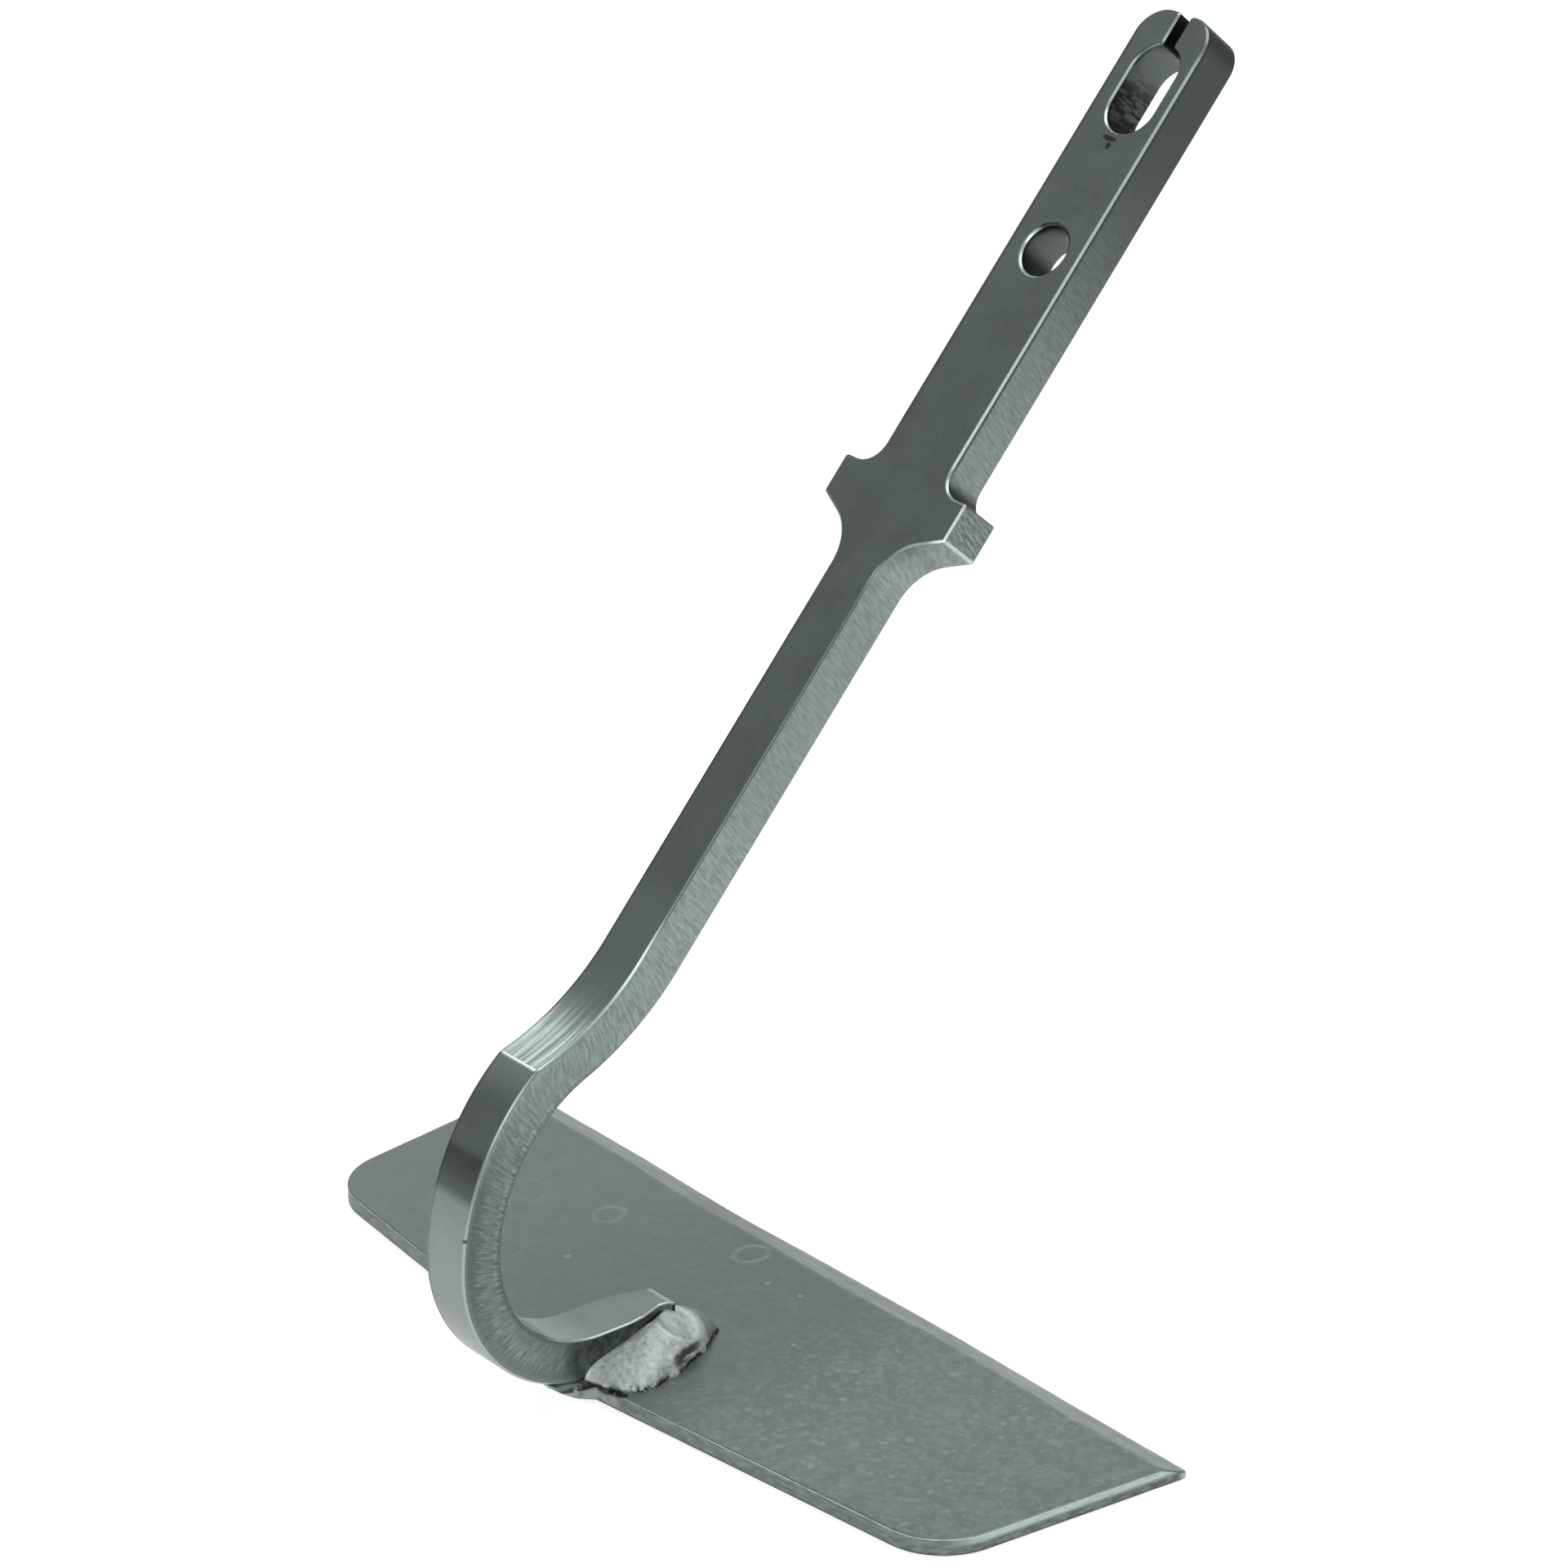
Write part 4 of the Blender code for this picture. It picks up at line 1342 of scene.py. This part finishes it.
def blade_steel():
    """Mill-scaled plate with water rings, specks, weld heat arcs and a bare ground bevel."""
    g = Graph("blade_steel_look", 0.9)
    place = g.object_place()
    x, y, z = g.split(place)[:3]
    cloud = g.noise(place, 32.0, 5.0, 0.6, 0.4)
    mottle = g.noise(place, 230.0, 4.0, 0.6)
    grain = g.noise(place, 1300.0, 3.0, 0.65)
    tone = g.mix(g.ramp(cloud, 0.3, 0.72), shade(0.285), shade(0.325))
    tone = g.over(tone, 0.375, g.ramp(mottle, 0.45, 0.72, 0.0, 0.30))
    tone = g.over(tone, 0.24, g.ramp(grain, 0.35, 0.75, 0.0, 0.30))
    middle = g.near(place, (2.0 * MM, 0.0, 3.0 * MM), 58.0 * MM)
    tone = g.over(tone, 0.20, g.ramp(middle, 0.2, 1.0, 0.35, 0.0))
    tone = g.over(tone, 0.40, g.fade(x, 8.0, 40.0, 0.0, 0.30))
    scale = g.noise(place, 620.0, 2.0, 0.6)
    dotted = g.times(g.ramp(scale, 0.50, 0.62), g.fade(x, 8.0, 32.0, 0.05, 0.30))
    tone = g.over(tone, 0.52, dotted)
    marks = water_marks(g, place, mottle)
    tone = g.mix(marks, tone, (0.43, 0.56, 0.52))
    heat = g.near(place, (4.0 * MM, -14.0 * MM, 3.0 * MM), 24.0 * MM)
    arcs = g.times(g.plus(heat, g.times(mottle, 0.16)), 30.0)
    arcs = g.ramp(g.math("SINE", arcs), 0.45, 1.0)
    arcs = g.times(arcs, g.ramp(heat, 0.45, 1.1, 1.0, 0.0))
    tone = g.over(tone, 0.45, arcs, 0.12)
    tone, low, grind = blade_edges(g, tone, place, x, y, z)
    rough = g.ramp(cloud, 0.2, 0.8, 0.38, 0.47)
    height = g.plus(g.times(mottle, 0.5), g.times(marks, 0.5))
    normal = g.bump(height, 0.20, 0.06 * MM)
    normal = g.bump(g.times(grind, low), 0.22, 0.05 * MM, normal)
    normal = g.bump(grain, 0.15, 0.02 * MM, normal)
    return g.finish(tone, rough, normal)


def weld_steel():
    """Bright solidified weld metal with slag and a painted shadow along its toe, and painted shade in the
    undercut and past the crater.
    """
    g = Graph("weld_steel_look", 0.75)
    place = g.object_place()
    cloud = g.noise(place, 300.0, 5.0, 0.65, 0.6)
    fine = g.noise(place, 1200.0, 4.0, 0.7)
    x, y, z = g.split(place)[:3]
    from_pool = g.near(place, (CRATER[0] * MM, CRATER[1] * MM, 6.0 * MM), 1.0 * MM, (1.05, 0.9, 0.2))
    arcs = g.times(g.plus(from_pool, g.times(cloud, 2.6)), 4.2)
    arcs = g.ramp(g.math("SINE", arcs), -0.9, 0.9)
    tone = g.mix(g.ramp(cloud, 0.32, 0.66), bare(0.64), bare(0.84))
    tone = g.mix(g.times(arcs, 0.20), tone, bare(0.48))
    tone = g.mix(g.ramp(fine, 0.50, 0.66, 0.0, 0.60), tone, bare(1.0))
    tone = g.mix(g.ramp(fine, 0.30, 0.45, 0.60, 0.0), tone, bare(0.30))
    pool = g.math("DIVIDE", g.plus(from_pool, g.times(cloud, 0.7)), CRATER[2] + 0.35)
    rim = g.band(pool, 0.93, 0.05, 0.17)
    tone = g.mix(g.times(rim, 0.75), tone, bare(0.95))
    tone = g.mix(g.ramp(pool, 0.45, 0.80, 0.35, 0.0), tone, bare(0.62))
    # Painted shade on the bead's shoulder past the crater.
    shoulder_shade = g.times(g.ramp(pool, 1.12, 1.32), g.fade(y, -13.0, -10.0))
    tone = g.over(tone, 0.26, shoulder_shade, 0.72)
    heel = g.fade(z, 3.1, 3.5, 1.0, 0.0)
    heel = g.times(heel, g.fade(y, -24.6, -23.8, 1.0, 0.0))
    heel = g.highest(heel, g.fade(y, -28.6, -27.4, 1.0, 0.0))
    # The heel bead darker, darkest at its bottom.
    heel_bead_tone = g.mix(g.ramp(cloud, 0.36, 0.60), shade(0.13), shade(0.30))
    heel_bead_tone = g.over(heel_bead_tone, 0.04, g.fade(z, 0.3, 0.7, 0.9, 0.0))
    tone = g.mix(g.times(heel, 0.94), tone, heel_bead_tone)
    # A spatter drop with a painted glint.
    drop = g.near(place, (-4.6 * MM, -33.2 * MM, 3.4 * MM), 1.2 * MM)
    tone = g.over(tone, 0.95, g.ramp(drop, 0.6, 1.1, 0.9, 0.0))
    # Painted shade in the undercut groove by the toe.
    undercut_shade = g.plus(z, g.times(cloud, 2.4 * MM))
    undercut_shade = g.strip(undercut_shade, BLADE_TOP + 2.7 * MM, 0.45, 1.10)
    undercut_shade = g.times(undercut_shade, g.strip(y, -11.6 * MM, 2.4, 4.4))
    undercut_shade = g.times(undercut_shade, g.fade(x, 7.6, 8.8))
    tone = g.over(tone, 0.05, undercut_shade, 0.85)
    low = g.ramp(z, BLADE_TOP + 0.15 * MM, BLADE_TOP + 1.0 * MM, 1.0, 0.0)
    above = g.ramp(z, BLADE_TOP - 0.3 * MM, BLADE_TOP - 0.1 * MM)
    # Slag and a painted shadow along the toe.
    slag_and_toe_shadow = g.times(low, g.ramp(g.noise(place, 340.0, 3.0, 0.65), 0.42, 0.50))
    tone = g.over(tone, 0.03, slag_and_toe_shadow, above)
    rough = g.ramp(cloud, 0.2, 0.8, 0.40, 0.58)
    height = g.plus(g.times(cloud, 0.7), g.times(fine, 0.5))
    return g.finish(tone, rough, g.bump(height, 0.75, 0.12 * MM))


# ---------------------------------------------------------------- stage


def soft_box(name, direction, distance, width, height, radiance):
    """Area light seen from the object in a direction, with an even radiance."""
    light = bpy.data.lights.new(name, "AREA")
    light.shape = "RECTANGLE"
    light.size = width
    light.size_y = height
    light.energy = radiance * math.pi * width * height
    lamp = bpy.data.objects.new(name, light)
    bpy.context.scene.collection.objects.link(lamp)
    aim = Vector((0.0, 0.0, 0.06))
    toward = Vector(direction).normalized()
    lamp.location = aim + toward * distance
    lamp.rotation_mode = "QUATERNION"
    lamp.rotation_quaternion = (-toward).to_track_quat("-Z", "Y")


def build_floor():
    mesh = bpy.data.meshes.new("studio_floor")
    reach = 3.0
    shape = bmesh.new()
    corners = [(-reach, -reach), (reach, -reach), (reach, reach), (-reach, reach)]
    shape.faces.new([shape.verts.new((x, y, -0.3 * MM)) for x, y in corners])
    shape.to_mesh(mesh)
    shape.free()
    floor = bpy.data.objects.new("studio_floor", mesh)
    bpy.context.scene.collection.objects.link(floor)
    white = bpy.data.materials.new("floor_white")
    white.use_nodes = True
    shader = white.node_tree.nodes["Principled BSDF"]
    shader.inputs["Base Color"].default_value = (0.86, 0.86, 0.86, 1.0)
    shader.inputs["Roughness"].default_value = 0.9
    shader.inputs["Specular IOR Level"].default_value = 0.0
    shader.inputs["Emission Color"].default_value = (1.0, 1.0, 1.0, 1.0)
    shader.inputs["Emission Strength"].default_value = 0.75
    mesh.materials.append(white)


def build_stage():
    build_floor()
    world = bpy.data.worlds.new("studio")
    bpy.context.scene.world = world
    world.use_nodes = True
    world.node_tree.nodes["Background"].inputs["Color"].default_value = (1.0, 1.0, 1.0, 1.0)
    world.node_tree.nodes["Background"].inputs["Strength"].default_value = 0.28
    soft_box("hollow_box", (-0.72, 0.06, 0.70), 1.1, 0.42, 0.36, 1.9)
    soft_box("back_left_box", (-0.71, 0.62, 0.30), 1.3, 0.9, 0.75, 0.55)
    soft_box("top_box", (0.22, 0.42, 0.88), 1.2, 1.0, 1.0, 1.0)
    soft_box("front_box", (0.71, -0.57, 0.44), 1.15, 0.55, 0.45, 2.6)
    bpy.context.scene.view_settings.view_transform = "Standard"


def build_camera():
    """Main view: the head from the right of its heel, looking down at it."""
    camera = bpy.data.cameras.new("main_camera")
    camera.lens = 143.168
    camera.sensor_width = 36.0
    camera.clip_start = 0.05
    camera.clip_end = 20.0
    shooter = bpy.data.objects.new("main_camera", camera)
    bpy.context.scene.collection.objects.link(shooter)
    shooter.location = (0.672462, -0.520391, 0.476600)
    shooter.rotation_mode = "QUATERNION"
    shooter.rotation_quaternion = Quaternion((0.759849, 0.487061, 0.239300, 0.357961))
    bpy.context.scene.camera = shooter


# ---------------------------------------------------------------- the object


def main():
    verts, faces, flat = build_shank_mesh()
    shank = make_piece("bent_shank", verts, faces, "shank", flat)
    shank.data.materials.append(shank_steel())
    verts, faces = build_blade_mesh()
    blade = make_piece("hoe_blade", verts, faces, "blade")
    blade.data.materials.append(blade_steel())
    bead_look = weld_steel()
    for name, node, sign, seed, points in (
        ("bead_right", "weld_right", 1.0, 3.0, len(BEAD_TOP)),
        ("bead_left", "weld_left", -1.0, 17.0, LEFT_POINTS),
    ):
        verts, faces = build_side_bead(sign, seed, points)
        bead = make_piece(name, verts, faces, node)
        bead.data.materials.append(bead_look)
    verts, faces = build_heel_bead(5.0)
    heel = make_piece("bead_heel", verts, faces, "weld_heel")
    heel.data.materials.append(bead_look)
    build_stage()
    build_camera()


main()
